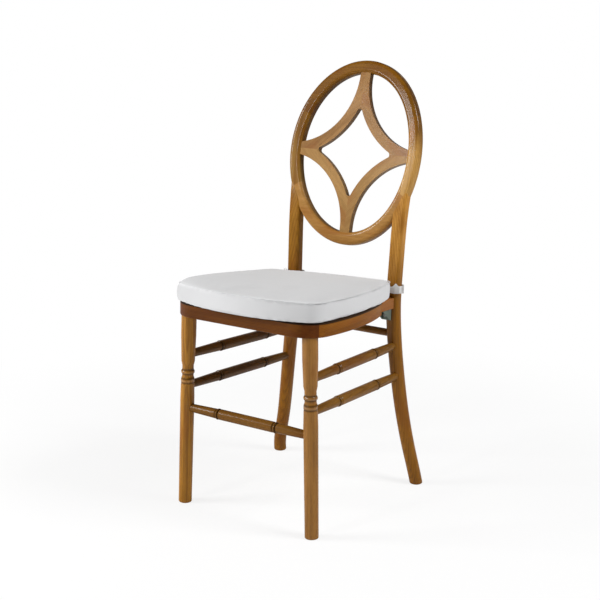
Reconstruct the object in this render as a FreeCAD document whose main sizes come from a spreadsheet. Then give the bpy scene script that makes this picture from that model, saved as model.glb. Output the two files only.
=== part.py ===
"""Wooden dining chair with an oval star back and a strapped seat cushion.

Millimetres and degrees, +Z up, front of the chair towards -Y.
The origin is on the floor, under the middle of the chair's outer box.
"""
import FreeCAD
import Part
import Sketcher
import math
import os
from types import SimpleNamespace
from FreeCAD import Placement, Rotation, Vector

# Driving dimensions

SIZES = {
    # Seat frame, measured in its own sloping plane
    "seat_height": 448.0,
    "seat_slope": 2.3,
    "front_reach": 233.4,
    "rail_height": 30.0,
    "rail_thickness": 26.0,
    "frame_depth": 321.0,
    "side_reach": 188.5,
    "side_widest": 121.0,
    "side_bow_radius": 516.0,
    "front_corner_radius": 60.0,
    "rear_corner_radius": 65.0,
    "corner_block_half_angle": 17.0,
    "corner_block_direction": -47.5,
    "rail_round": 2.8,
    "board_thickness": 9.0,
    "board_ledge": 9.0,
    "frame_dowel_radius": 4.0,
    "frame_dowel_length": 28.0,
    # Front legs, their beads measured down from the top of the seat frame
    "front_foot_reach": 166.7,
    "front_foot_setback": 19.7,
    "front_leg_reach": 154.0,
    "front_leg_setback": 31.0,
    "leg_foot_radius": 14.2,
    "leg_foot_round": 3.0,
    "leg_belly_radius": 15.1,
    "leg_ankle_radius": 14.4,
    "leg_neck_radius": 12.2,
    "leg_throat_radius": 14.3,
    "leg_top_radius": 16.0,
    "leg_bead_radius": 14.5,
    "leg_bead_half_height": 4.6,
    "upper_bead_drop": 154.4,
    "lower_bead_drop": 174.0,
    "leg_tenon_radius": 10.0,
    "leg_tenon_length": 14.0,
    # Back legs, their joint with the ring measured up from the top of the seat frame
    "back_leg_reach": 133.0,
    "back_leg_setback": 377.8,
    "back_leg_splay": 55.7,
    "back_leg_kick": 21.7,
    "back_leg_lean": 26.0,
    "back_leg_joint_rise": 194.0,
    "back_foot_width": 28.4,
    "back_leg_width": 32.0,
    "post_width": 29.5,
    "post_depth": 23.5,
    "post_corner_radius": 6.5,
    "round_section_flat": 0.6,
    # Oval ring of the back, its centre measured up from the top of the seat frame
    "ring_rise": 277.7,
    "ring_setback": 426.5,
    "ring_lean": 13.45,
    "ring_half_width": 167.3,
    "ring_half_height": 204.9,
    "ring_band": 28.5,
    "ring_depth": 21.0,
    "ring_front_round": 8.5,
    "ring_back_round": 3.0,
    "ring_side_curve_radius": 2115.0,
    "ring_height_curve_radius": 2782.0,
    "ring_joint_rise": 100.0,
    "ring_dowel_radius": 3.0,
    "ring_dowel_length": 30.0,
    "ring_dowel_spacing": 12.0,
    "post_dowel_radius": 4.0,
    "post_dowel_length": 24.0,
    # Star in the ring
    "star_thickness": 13.5,
    "star_strip_width": 23.0,
    "star_stem_half_width": 12.9,
    "star_arm_half_height": 14.5,
    "star_tip_radius": 6.5,
    "star_tongue": 6.0,
    # Stretchers, measured down from the top of the seat frame
    "side_upper_drop": 118.0,
    "side_lower_drop": 186.0,
    "side_stretcher_fall": 13.0,
    "front_stretcher_drop": 234.0,
    "back_stretcher_drop": 104.5,
    "stretcher_end_radius": 8.6,
    "stretcher_belly_radius": 11.3,
    "stretcher_bead_radius": 11.8,
    "stretcher_bead_half_width": 3.2,
    "stretcher_groove_depth": 0.9,
    "back_stretcher_radius": 8.1,
    "stretcher_socket": 10.0,
    # Blocks and brackets behind the seat frame
    "rear_block_reach": 142.0,
    "rear_block_width": 28.0,
    "rear_block_height": 23.0,
    "rear_block_housing": 4.0,
    "bracket_thickness": 2.5,
    "bracket_length": 32.0,
    "bracket_drop": 26.0,
    "bracket_width": 22.0,
    "screw_radius": 2.0,
    "screw_length": 16.0,
    "screw_head_radius": 4.0,
    "screw_head_height": 1.8,
    "board_screw_length": 20.0,
    # Cushion, measured on top of the seat frame
    "cushion_thickness": 36.0,
    "cushion_crown": 7.0,
    "cushion_drawn_in": 6.0,
    "cushion_side_overhang": 3.5,
    "cushion_front_overhang": 26.0,
    "cushion_rear_overhang": 16.0,
    "cushion_side_bow_radius": 640.0,
    "cushion_front_bow_radius": 390.0,
    "cushion_rear_bow_radius": 1500.0,
    "cushion_front_corner_radius": 68.0,
    "cushion_rear_corner_radius": 50.0,
    "soft_clearance": 0.3,
    # Straps that tie the cushion to the posts
    "strap_width": 15.0,
    "strap_thickness": 1.8,
    "strap_tab": 10.0,
    "strap_lift": 3.6,
    "cut_overrun": 5.0,
}

# Height shares of the back leg's axis, from the floor to its joint with the ring,
# with the shares of splay, kick and lean that it has at each height
BACK_LEG_HEIGHT_SHARES = (0.0, 0.13, 0.26, 0.39, 0.52, 0.65, 0.78, 0.91, 1.0, 1.06)
BACK_LEG_SPLAY_SHARES = (1.0, 0.72, 0.45, 0.25, 0.085, 0.0, 0.02, 0.055, 0.09, 0.11)
BACK_LEG_KICK_SHARES = (1.0, 0.52, 0.23, 0.06, 0.0, 0.0, 0.0, 0.0, 0.0, 0.0)
BACK_LEG_LEAN_SHARES = (0.0, 0.0, 0.0, 0.0, 0.03, 0.11, 0.34, 0.625, 1.0, 1.27)
# Height share where the leg has its full round section, and where it is a flat sided post
ROUND_SECTION_SHARE = 0.6
FLAT_SECTION_SHARE = 0.76
# Turned front leg: places between its named heights
LEG_BELLY_SHARE = 0.86
LEG_THROAT_SHARE = 0.17
LEG_SWELL_SHARE = 0.62
# Turned stretchers: places of the two beads along the length
SIDE_BEAD_SHARES = (0.28, 0.735)
FRONT_BEAD_SHARES = (0.26, 0.74)
BELLY_SHARE = 0.5
# Star: the tips of its opening and the waist of each strip, as shares of the ring's opening
STAR_TIP_SHARES = (0.728, 0.604)
STAR_WAIST_SHARES = (0.3035, 0.2336)
# Reach of the wedges that divide the ring, as a share of its half width
WEDGE_REACH_SHARE = 2.8
# Angle, in half turns of the ring's outline, where each post's dowel crosses into the ring
POST_DOWEL_TURN_SHARE = -0.19
# Cushion: height shares of its sections and how much of the drawn in depth each has
CUSHION_HEIGHT_SHARES = (0.0, 0.12, 0.5, 0.88, 1.0)
CUSHION_DRAW_SHARES = (1.0, 0.3, 0.0, 0.3, 1.0)
# Crown: rise shares and the size shares of the outline at each
CROWN_RISE_SHARES = (0.0, 0.42, 0.82, 1.0)
CROWN_SIZE_SHARES = (1.0, 0.87, 0.55, 0.15)
# Board screws: places as shares of the frame's reach and depth
BOARD_SCREW_SHARES = ((0.35, 0.043), (0.88, 0.36), (0.84, 0.62))
BRACKET_SCREW_SHARE = 0.62
BRACKET_SCREW_SPREAD_SHARE = 0.19
# Frame dowels: height and distance from the outer face, as shares of the rail's section
FRAME_DOWEL_SHARES = (0.68, 0.42)

# Sheet

doc = FreeCAD.newDocument("wooden_chair")
sheet = doc.addObject("Spreadsheet::Sheet", "Sizes")
for row, (name, number) in enumerate(SIZES.items(), start=1):
    sheet.set("A%d" % row, name)
    sheet.set("B%d" % row, str(number))
    sheet.setAlias("B%d" % row, name)
doc.recompute()


class Size:
    """A value together with the formula that gives it from the sheet's cells."""

    def __init__(self, value, formula=None):
        self.value = float(value)
        self.formula = formula if formula else "%.9f" % value

    def __add__(self, other):
        other = as_size(other)
        return Size(self.value + other.value, "(%s + %s)" % (self.formula, other.formula))

    def __sub__(self, other):
        other = as_size(other)
        return Size(self.value - other.value, "(%s - %s)" % (self.formula, other.formula))

    def __mul__(self, other):
        other = as_size(other)
        return Size(self.value * other.value, "(%s * %s)" % (self.formula, other.formula))

    def __truediv__(self, other):
        other = as_size(other)
        return Size(self.value / other.value, "(%s / %s)" % (self.formula, other.formula))

    def __neg__(self):
        return Size(-self.value, "(0 - %s)" % self.formula)

    __radd__ = __add__
    __rmul__ = __mul__


def as_size(number):
    """Wrap a plain number, so that it can stand in a formula."""
    return number if isinstance(number, Size) else Size(number)


def root(size):
    """Square root, in the value and in the formula."""
    return Size(math.sqrt(size.value), "sqrt(%s)" % size.formula)


# dim.name is a number, and size.name the same with its formula
dim = SimpleNamespace(**{name: float(sheet.get(name)) for name in SIZES})
size = SimpleNamespace(**{name: Size(sheet.get(name), "Sizes.%s" % name) for name in SIZES})
zero = Size(0.0)

parts = []


def finish(thing, label):
    """Name a finished sub-part and keep it for export."""
    thing.Label = label
    parts.append(thing)
    return thing


# Drawing helpers

def origin_plane(body, role):
    """The body's own origin plane of that role."""
    return next(plane for plane in body.Origin.OriginFeatures if plane.Role == role)


def new_body(name, placement):
    """An empty body at its place."""
    body = doc.addObject("PartDesign::Body", name)
    body.Placement = placement
    return body


def outline_sketch(body, name, role, corners, arcs=None):
    """A closed outline through corners, each a pair of sizes.

    arcs gives, for the side that starts at a corner's number, the arc's centre,
    its radius and whether it runs anticlockwise.
    """
    arcs = arcs or {}
    sketch = body.newObject("Sketcher::SketchObject", name)
    sketch.AttachmentSupport = [(origin_plane(body, role), "")]
    sketch.MapMode = "FlatFace"
    count = len(corners)
    points = [Vector(x.value, y.value, 0) for x, y in corners]
    first_ends = []
    last_ends = []
    for number in range(count):
        start = points[number]
        end = points[(number + 1) % count]
        if number in arcs:
            centre, radius, anticlockwise = arcs[number]
            middle = Vector(centre[0].value, centre[1].value, 0)
            circle = Part.Circle(middle, Vector(0, 0, 1), radius.value)
            if not anticlockwise:
                start, end = end, start
            begin_angle = math.atan2(start.y - middle.y, start.x - middle.x)
            end_angle = math.atan2(end.y - middle.y, end.x - middle.x)
            sketch.addGeometry(Part.ArcOfCircle(circle, begin_angle, end_angle), False)
            first_ends.append(1 if anticlockwise else 2)
            last_ends.append(2 if anticlockwise else 1)
        else:
            sketch.addGeometry(Part.LineSegment(start, end), False)
            first_ends.append(1)
            last_ends.append(2)
    for number in range(count):
        after = (number + 1) % count
        sketch.addConstraint(
            Sketcher.Constraint("Coincident", number, last_ends[number], after, first_ends[after])
        )
    for number, (x, y) in enumerate(corners):
        for kind, place in (("DistanceX", x), ("DistanceY", y)):
            index = sketch.addConstraint(
                Sketcher.Constraint(kind, -1, 1, number, first_ends[number], place.value)
            )
            sketch.setExpression("Constraints[%d]" % index, place.formula)
        if number in arcs:
            radius = arcs[number][1]
            index = sketch.addConstraint(Sketcher.Constraint("Radius", number, radius.value))
            sketch.setExpression("Constraints[%d]" % index, radius.formula)
    return sketch


def pad(body, sketch, length, midplane=False):
    """Raise a sketch to a solid."""
    feature = body.newObject("PartDesign::Pad", body.Name + "_pad")
    feature.Profile = sketch
    feature.Midplane = midplane
    feature.setExpression("Length", length.formula)
    return feature


def prism(name, placement, corners, length, arcs=None, midplane=False):
    """A body padded from one outline on its ground plane."""
    body = new_body(name, placement)
    sketch = outline_sketch(body, name + "_outline", "XY_Plane", corners, arcs)
    pad(body, sketch, length, midplane)
    return body


def turned(name, placement, corners, arcs=None):
    """A body turned about its own Z axis from a half profile of (radius, height)."""
    body = new_body(name, placement)
    sketch = outline_sketch(body, name + "_profile", "XZ_Plane", corners, arcs)
    feature = body.newObject("PartDesign::Revolution", name + "_turning")
    feature.Profile = sketch
    feature.ReferenceAxis = (sketch, ["V_Axis"])
    feature.Angle = 360
    return body


def cut(base, tool, name):
    """What is left of base when tool is taken out of it."""
    result = doc.addObject("Part::Cut", name)
    result.Base = base
    result.Tool = tool
    return result


def cut_all(base, tools, name):
    """Take several tools out of a base, one after another."""
    result = base
    for number, tool in enumerate(tools):
        result = cut(result, tool, "%s_cut_%d" % (name, number))
    return result


def common(base, tool, name):
    """The space that base and tool share."""
    result = doc.addObject("Part::Common", name)
    result.Base = base
    result.Tool = tool
    return result


def group(things, name):
    """Separate solids kept together in one node."""
    result = doc.addObject("Part::Compound", name)
    result.Links = things
    return result


def cylinder(name, radius, length, placement):
    """A plain round pin."""
    pin = doc.addObject("Part::Cylinder", name)
    pin.setExpression("Radius", radius.formula)
    pin.setExpression("Height", length.formula)
    pin.Placement = placement
    return pin


def along(start, direction):
    """Placement that puts the local Z axis on a direction."""
    return Placement(start, Rotation(Vector(0, 0, 1), direction))


def bead(arcs, corners, height, half_height, foot_radius, peak_radius):
    """Add a rounded bead to a turned profile, going up."""
    rise = peak_radius - foot_radius
    radius = (half_height * half_height + rise * rise) / (rise * 2)
    arcs[len(corners)] = ((peak_radius - radius, height), radius, True)
    corners.append((foot_radius, height - half_height))
    corners.append((foot_radius, height + half_height))


def straight(start, end):
    """An edge between two points."""
    return Part.makeLine(start, end)


def bend(start, middle, end):
    """An arc through three points."""
    return Part.Arc(start, middle, end).toShape()


# Places that several pieces share

front_line = -dim.front_reach
slope = math.radians(dim.seat_slope)
upper_bead_height = size.seat_height - size.upper_bead_drop
lower_bead_height = size.seat_height - size.lower_bead_drop
back_leg_joint_height = dim.seat_height + dim.back_leg_joint_rise
seat_place = Placement(
    Vector(0, front_line, dim.seat_height - dim.rail_height),
    Rotation(Vector(1, 0, 0), -dim.seat_slope),
)
ring_place = Placement(
    Vector(0, front_line + dim.ring_setback, dim.seat_height + dim.ring_rise),
    Rotation(Vector(1, 0, 0), 90 - dim.ring_lean),
)
SIDES = (("left", -1), ("right", 1))


def seat_underside(setback):
    """Height of the seat frame's lower face at a distance behind its front."""
    return dim.seat_height - dim.rail_height - setback * math.tan(slope)


def front_leg_at(side, height):
    """Point on a front leg's axis."""
    share = height / seat_underside(dim.front_leg_setback)
    reach = dim.front_foot_reach + (dim.front_leg_reach - dim.front_foot_reach) * share
    setback = dim.front_foot_setback + (dim.front_leg_setback - dim.front_foot_setback) * share
    return Vector(side * reach, front_line + setback, height)


def back_leg_knots(side):
    """Points on a back leg's axis at its height shares."""
    knots = []
    rows = zip(BACK_LEG_HEIGHT_SHARES, BACK_LEG_SPLAY_SHARES, BACK_LEG_KICK_SHARES, BACK_LEG_LEAN_SHARES)
    for height, splay, kick, lean in rows:
        reach = dim.back_leg_reach + dim.back_leg_splay * splay
        setback = dim.back_leg_setback + dim.back_leg_kick * kick + dim.back_leg_lean * lean
        knots.append(Vector(side * reach, front_line + setback, back_leg_joint_height * height))
    return knots


def back_leg_at(side, height):
    """Point on a back leg's axis, on a smooth curve through the knots."""
    curve = Part.BSplineCurve()
    curve.interpolate(back_leg_knots(side))
    low = curve.FirstParameter
    high = curve.LastParameter
    for _ in range(40):
        middle = (low + high) / 2
        if curve.value(middle).z < height:
            low = middle
        else:
            high = middle
    return curve.value(low)


# Turned front legs

def make_front_leg(label, side):
    """Turned leg with two beads and a round tenon on top, a little too long below the floor."""
    top = front_leg_at(side, seat_underside(dim.front_leg_setback))
    lean = top - front_leg_at(side, 0)
    foot = front_leg_at(side, -dim.leg_foot_radius * math.hypot(lean.x, lean.y) / lean.z)
    length = Size((top - foot).Length)
    neck = size.leg_neck_radius
    corners = [
        (zero, zero),
        (size.leg_foot_radius - size.leg_foot_round, zero),
        (size.leg_foot_radius, size.leg_foot_round),
        (size.leg_belly_radius, lower_bead_height * LEG_BELLY_SHARE),
        (size.leg_ankle_radius, lower_bead_height - size.leg_bead_half_height * 2),
    ]
    centre = (size.leg_foot_radius - size.leg_foot_round, size.leg_foot_round)
    arcs = {1: (centre, size.leg_foot_round, True)}
    groove = size.leg_ankle_radius - (size.leg_ankle_radius - neck) * LEG_THROAT_SHARE
    bead(arcs, corners, lower_bead_height, size.leg_bead_half_height, groove, size.leg_bead_radius)
    cove = lower_bead_height + (upper_bead_height - lower_bead_height) / 2
    corners.append((neck, cove))
    bead(arcs, corners, upper_bead_height, size.leg_bead_half_height, neck, size.leg_bead_radius)
    above = upper_bead_height + size.leg_bead_half_height
    corners += [
        (neck, above + size.leg_bead_half_height * 2),
        (size.leg_throat_radius, above + size.leg_bead_half_height * 4),
        (size.leg_top_radius, above + (length - above) * LEG_SWELL_SHARE),
        (size.leg_top_radius, length),
        (size.leg_tenon_radius, length),
        (size.leg_tenon_radius, length + size.leg_tenon_length),
        (zero, length + size.leg_tenon_length),
    ]
    return turned(label + "_turning", along(foot, top - foot), corners, arcs)


# Bent back legs, which rise to the ring as posts

def section_wire(centre, width, depth, radius):
    """A level rounded rectangle, always with eight edges that start at the same corner."""
    x = width / 2
    y = depth / 2
    slant = radius * (1 - math.sqrt(0.5))
    edges = []
    for turn in range(4):
        if turn % 2:
            half, across = y, x
        else:
            half, across = x, y
        spin = Placement(centre, Rotation(Vector(0, 0, 1), 90 * turn))
        start = spin.multVec(Vector(-half + radius, -across, 0))
        end = spin.multVec(Vector(half - radius, -across, 0))
        peak = spin.multVec(Vector(half - slant, -across + slant, 0))
        after = spin.multVec(Vector(half, -across + radius, 0))
        edges.append(straight(start, end))
        edges.append(bend(end, peak, after))
    return Part.Wire(edges)


def back_leg_section(share):
    """Width, depth and corner radius of the leg at a height share."""
    if share <= ROUND_SECTION_SHARE:
        grown = share / ROUND_SECTION_SHARE
        width = dim.back_foot_width + (dim.back_leg_width - dim.back_foot_width) * grown
        return width, width, width / 2 - dim.round_section_flat
    part_way = min(1.0, (share - ROUND_SECTION_SHARE) / (FLAT_SECTION_SHARE - ROUND_SECTION_SHARE))
    round_radius = dim.back_leg_width / 2 - dim.round_section_flat
    width = dim.back_leg_width + (dim.post_width - dim.back_leg_width) * part_way
    depth = dim.back_leg_width + (dim.post_depth - dim.back_leg_width) * part_way
    radius = round_radius + (dim.post_corner_radius - round_radius) * part_way
    return width, depth, radius


def make_back_leg(label, side):
    """One bent piece, round from the floor to the seat and flat sided above it."""
    wires = []
    for share, knot in zip(BACK_LEG_HEIGHT_SHARES, back_leg_knots(side)):
        width, depth, radius = back_leg_section(share)
        wires.append(section_wire(knot, width, depth, radius))
    solid = Part.makeLoft(wires, True, False)
    floor_edges = [edge for edge in solid.Edges if edge.BoundBox.ZMax < dim.leg_foot_round / 10]
    leg = doc.addObject("Part::Feature", label + "_blank")
    leg.Shape = solid.makeFillet(dim.leg_foot_round, floor_edges)
    leg.Placement = Placement()
    return leg


# Oval ring

def oval(name, half_width, half_height, depth):
    """An upright oval block, square to the ring's plane."""
    curve = doc.addObject("Part::Ellipse", name + "_line")
    curve.setExpression("MajorRadius", half_height.formula)
    curve.setExpression("MinorRadius", half_width.formula)
    curve.Placement = ring_place * Placement(Vector(), Rotation(Vector(0, 0, 1), 90))
    block = doc.addObject("Part::Extrusion", name)
    block.Base = curve
    block.DirMode = "Normal"
    block.Solid = True
    block.Symmetric = True
    block.setExpression("LengthFwd", depth.formula)
    return block


def curved_plate(name, thickness):
    """A plate that is hollow towards the sitter across its width and swept back over its height."""
    upright = dim.ring_height_curve_radius
    reach = dim.ring_half_width + dim.cut_overrun
    centre = upright + dim.ring_side_curve_radius
    back_radius = dim.ring_side_curve_radius + thickness / 2
    front_radius = dim.ring_side_curve_radius - thickness / 2
    back = centre - math.sqrt(back_radius ** 2 - reach ** 2)
    front = centre - math.sqrt(front_radius ** 2 - reach ** 2)
    back_left = Vector(-reach, 0, back)
    back_right = Vector(reach, 0, back)
    front_right = Vector(reach, 0, front)
    front_left = Vector(-reach, 0, front)
    section = Part.Face(Part.Wire([
        bend(back_left, Vector(0, 0, centre - back_radius), back_right),
        straight(back_right, front_right),
        bend(front_right, Vector(0, 0, centre - front_radius), front_left),
        straight(front_left, back_left),
    ]))
    half_height = dim.ring_half_height + dim.cut_overrun
    half_angle = math.degrees(math.asin(half_height / (upright - dim.ring_depth)))
    plate = doc.addObject("Part::Feature", name)
    plate.Shape = section.revolve(Vector(), Vector(1, 0, 0), half_angle * 2).toNurbs()
    swing = Placement(Vector(0, 0, -upright), Rotation(Vector(1, 0, 0), -half_angle))
    plate.Placement = ring_place * swing
    return plate


def wedge(name, first, second):
    """A triangle from the ring's centre to two of the joints' directions."""
    reach = size.ring_half_width * WEDGE_REACH_SHARE
    rise = size.ring_joint_rise * WEDGE_REACH_SHARE
    corners = [(zero, zero)]
    corners += [(reach * across, rise * up) for across, up in (first, second)]
    return prism(name, ring_place, corners, ring_block_depth, midplane=True)


def rounded(base, name):
    """Round the long arrises of a ring segment, the front ones wider than the back ones."""
    result = doc.addObject("Part::Fillet", name)
    result.Base = base
    doc.recompute()
    numbers = []
    for number, edge in enumerate(base.Shape.Edges, start=1):
        if edge.Length > dim.ring_band * 2:
            middle = edge.valueAt((edge.FirstParameter + edge.LastParameter) / 2)
            place = ring_place.inverse().multVec(middle)
            in_front = place.z > on_ring(place.x, place.y).z
            radius = dim.ring_front_round if in_front else dim.ring_back_round
            numbers.append((number, radius, radius))
    result.Edges = numbers
    return result


def on_ring(across, up):
    """Point on the middle of the curved back, in the ring's own plane coordinates."""
    forward = across ** 2 / (2 * dim.ring_side_curve_radius) - up ** 2 / (2 * dim.ring_height_curve_radius)
    return Vector(across, up, forward)


def ring_radius(direction, band):
    """Distance from the centre to the oval, band inside its outer edge, in a direction."""
    across = direction.x / (dim.ring_half_width - band)
    up = direction.y / (dim.ring_half_height - band)
    return 1 / math.hypot(across, up)


# Star strips

def circle_through(first, second, third):
    """Centre and radius of the circle through three points."""
    circle = Part.Arc(first, second, third).toShape().Curve
    return circle.Center, circle.Radius


def star_strip_edges(depth):
    """Outline of the upper right strip, from the star's stem to its arm, drawn at a depth."""
    half_width = dim.ring_half_width - dim.ring_band
    half_height = dim.ring_half_height - dim.ring_band
    tip_across = half_width * STAR_TIP_SHARES[0]
    tip_up = half_height * STAR_TIP_SHARES[1]
    waist = Vector(half_width * STAR_WAIST_SHARES[0], half_height * STAR_WAIST_SHARES[1], 0)
    outer_waist = waist + Vector(waist).normalize() * dim.star_strip_width
    stem = dim.star_stem_half_width
    arm = dim.star_arm_half_height
    stem_end = Vector(stem, half_height * math.sqrt(1 - (stem / half_width) ** 2), 0)
    arm_end = Vector(half_width * math.sqrt(1 - (arm / half_height) ** 2), arm, 0)
    lobe_centre, lobe_radius = circle_through(stem_end, outer_waist, arm_end)
    inner_centre, inner_radius = circle_through(Vector(0, tip_up, 0), waist, Vector(tip_across, 0, 0))
    tip = dim.star_tip_radius
    reach = inner_radius + tip
    top_round = Vector(0, inner_centre.y - math.sqrt(reach ** 2 - inner_centre.x ** 2), 0)
    side_round = Vector(inner_centre.x - math.sqrt(reach ** 2 - inner_centre.y ** 2), 0, 0)
    top_touch = inner_centre + (top_round - inner_centre).normalize() * inner_radius
    side_touch = inner_centre + (side_round - inner_centre).normalize() * inner_radius
    top_start = top_round + Vector(0, tip, 0)
    side_start = side_round + Vector(tip, 0, 0)
    far = half_height + dim.star_tongue + dim.cut_overrun
    left = Vector(lobe_centre.x - lobe_radius, lobe_centre.y, 0)
    low = Vector(lobe_centre.x, lobe_centre.y - lobe_radius, 0)
    points = [top_start, Vector(0, far, 0), Vector(left.x, far, 0), left]
    edges = [straight(start, end) for start, end in zip(points, points[1:])]
    edges.append(bend(left, lobe_centre + Vector(-1, -1, 0).normalize() * lobe_radius, low))
    edges.append(straight(low, Vector(low.x, 0, 0)))
    edges.append(straight(Vector(low.x, 0, 0), side_start))
    edges.append(tip_arc(side_start, side_touch, side_round, tip))
    edges.append(bend(side_touch, waist, top_touch))
    edges.append(tip_arc(top_touch, top_start, top_round, tip))
    return [edge.translated(Vector(0, 0, depth)) for edge in edges]


def tip_arc(start, end, centre, radius):
    """Short arc about a centre between two points."""
    middle = centre + ((start + end) / 2 - centre).normalize() * radius
    return bend(start, middle, end)


def make_star_strip(label, side, level):
    """One curved quarter of the star, with tongues that enter the ring."""
    depth = ring_block_depth.value
    face = Part.Face(Part.Wire(star_strip_edges(-depth / 2)))
    solid = face.extrude(Vector(0, 0, depth))
    if side < 0:
        solid = solid.mirror(Vector(), Vector(1, 0, 0))
    if level < 0:
        solid = solid.mirror(Vector(), Vector(0, 1, 0))
    blank = doc.addObject("Part::Feature", label + "_blank")
    blank.Shape = solid
    blank.Placement = ring_place
    inside = common(blank, star_field, label + "_field")
    return common(inside, star_plate, label + "_strip")


# Stretchers

def make_stretcher(name, start, end, bead_shares, start_radius, end_radius):
    """Turned stretcher with tapered ends and two beads, let into the legs at both ends."""
    direction = (end - start).normalize()
    start = start + direction * (start_radius - dim.stretcher_socket)
    end = end - direction * (end_radius - dim.stretcher_socket)
    length = Size((end - start).Length)
    tip = size.stretcher_end_radius
    belly = size.stretcher_belly_radius
    groove = belly - size.stretcher_groove_depth * 2
    half = size.stretcher_bead_half_width
    corners = [(zero, zero), (tip, zero)]
    arcs = {}
    for number, share in enumerate(bead_shares):
        place = length * share
        flank = place - half * 2
        if number:
            corners.append((belly, flank))
        else:
            corners.append((belly - size.stretcher_groove_depth, flank))
        bead(arcs, corners, place, half, groove, size.stretcher_bead_radius)
        if number:
            corners.append((belly - size.stretcher_groove_depth, place + half * 2))
        else:
            corners.append((belly, place + half * 2))
    corners += [(tip, length), (zero, length)]
    return turned(name, along(start, direction), corners, arcs)


def make_back_stretcher(name, start, end, radius):
    """Plain round stretcher high between the back legs."""
    direction = (end - start).normalize()
    start = start + direction * (radius - dim.stretcher_socket)
    end = end - direction * (radius - dim.stretcher_socket)
    length = Size((end - start).Length)
    return cylinder(name, size.back_stretcher_radius, length, along(start, direction))


# Seat frame

def frame_curves(inset):
    """Arcs of the seat frame's outline, inset from its outer face, as sizes."""
    inset = as_size(inset)
    side_radius = size.side_bow_radius - inset
    side_centre = (size.side_reach - size.side_bow_radius, size.side_widest)
    front_radius = size.front_corner_radius - inset
    rear_radius = size.rear_corner_radius - inset
    front_y = size.front_corner_radius
    rear_y = size.frame_depth - size.rear_corner_radius
    front_gap = size.side_bow_radius - size.front_corner_radius
    rear_gap = size.side_bow_radius - size.rear_corner_radius
    front_fall = front_y - side_centre[1]
    rear_fall = rear_y - side_centre[1]
    front_x = side_centre[0] + root(front_gap * front_gap - front_fall * front_fall)
    rear_x = side_centre[0] + root(rear_gap * rear_gap - rear_fall * rear_fall)
    front_centre = (front_x, front_y)
    rear_centre = (rear_x, rear_y)
    front_touch = (
        side_centre[0] + (front_x - side_centre[0]) * side_radius / front_gap,
        side_centre[1] + front_fall * side_radius / front_gap,
    )
    rear_touch = (
        side_centre[0] + (rear_x - side_centre[0]) * side_radius / rear_gap,
        side_centre[1] + rear_fall * side_radius / rear_gap,
    )
    return SimpleNamespace(
        side_centre=side_centre, side_radius=side_radius,
        front_centre=front_centre, front_radius=front_radius,
        rear_centre=rear_centre, rear_radius=rear_radius,
        front_touch=front_touch, rear_touch=rear_touch,
        front=inset, rear=size.frame_depth - inset,
    )


def mirrored(corners, arcs, side):
    """The same outline on the other side of the middle plane."""
    if side > 0:
        return corners, arcs
    flipped = [(-x, y) for x, y in corners]
    turned_arcs = {}
    for number, (centre, radius, anticlockwise) in arcs.items():
        turned_arcs[number] = ((-centre[0], centre[1]), radius, not anticlockwise)
    return flipped, turned_arcs


def whole_outline(inset):
    """Corners and arcs of the closed seat outline at an inset, anticlockwise."""
    lines = frame_curves(inset)
    right = [
        (lines.front_centre[0], lines.front),
        lines.front_touch,
        lines.rear_touch,
        (lines.rear_centre[0], lines.rear),
    ]
    left = [(-x, y) for x, y in reversed(right)]
    arcs = {
        0: (lines.front_centre, lines.front_radius, True),
        1: (lines.side_centre, lines.side_radius, True),
        2: (lines.rear_centre, lines.rear_radius, True),
        4: ((-lines.rear_centre[0], lines.rear_centre[1]), lines.rear_radius, True),
        5: ((-lines.side_centre[0], lines.side_centre[1]), lines.side_radius, True),
        6: ((-lines.front_centre[0], lines.front_centre[1]), lines.front_radius, True),
    }
    return right + left, arcs


def round_rims(base, radius, name):
    """Round every edge of a block that lies in the seat's plane."""
    result = doc.addObject("Part::Fillet", name)
    result.Base = base
    doc.recompute()
    upright = seat_place.Rotation.multVec(Vector(0, 0, 1))
    numbers = []
    for number, edge in enumerate(base.Shape.Edges, start=1):
        if abs(edge.tangentAt(edge.FirstParameter).dot(upright)) < math.sqrt(0.5):
            numbers.append((number, radius, radius))
    result.Edges = numbers
    return result


def on_corner(angle, radius, centre):
    """Point of the front corner's arc at an angle, as sizes."""
    across = math.cos(math.radians(angle))
    up = math.sin(math.radians(angle))
    return (centre[0] + radius * across, centre[1] + radius * up)


def joint_angles():
    """Angles where the corner block meets the front rail and the side rail."""
    middle = dim.corner_block_direction
    return middle - dim.corner_block_half_angle, middle + dim.corner_block_half_angle


def frame_piece(name, corners, arcs=None):
    """One piece of the frame, trimmed to the frame's rounded outside."""
    blank = prism(name + "_blank", seat_place, corners, size.rail_height, arcs)
    return common(blank, rounded_frame_block, name + "_rounded")


def make_front_rail():
    """Front rail, straight, with its ends bent round to the corner blocks."""
    outer = frame_curves(-size.cut_overrun)
    inner = frame_curves(size.rail_thickness)
    angle, _ = joint_angles()
    outer_end = on_corner(angle, outer.front_radius, outer.front_centre)
    inner_end = on_corner(angle, inner.front_radius, inner.front_centre)
    corners = [
        (-outer.front_centre[0], outer.front),
        (outer.front_centre[0], outer.front),
        outer_end,
        inner_end,
        (inner.front_centre[0], inner.front),
        (-inner.front_centre[0], inner.front),
        (-inner_end[0], inner_end[1]),
        (-outer_end[0], outer_end[1]),
    ]
    left_centre = (-outer.front_centre[0], outer.front_centre[1])
    arcs = {
        1: (outer.front_centre, outer.front_radius, True),
        3: (inner.front_centre, inner.front_radius, False),
        5: (left_centre, inner.front_radius, False),
        7: (left_centre, outer.front_radius, True),
    }
    return frame_piece("front_rail", corners, arcs)


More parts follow.
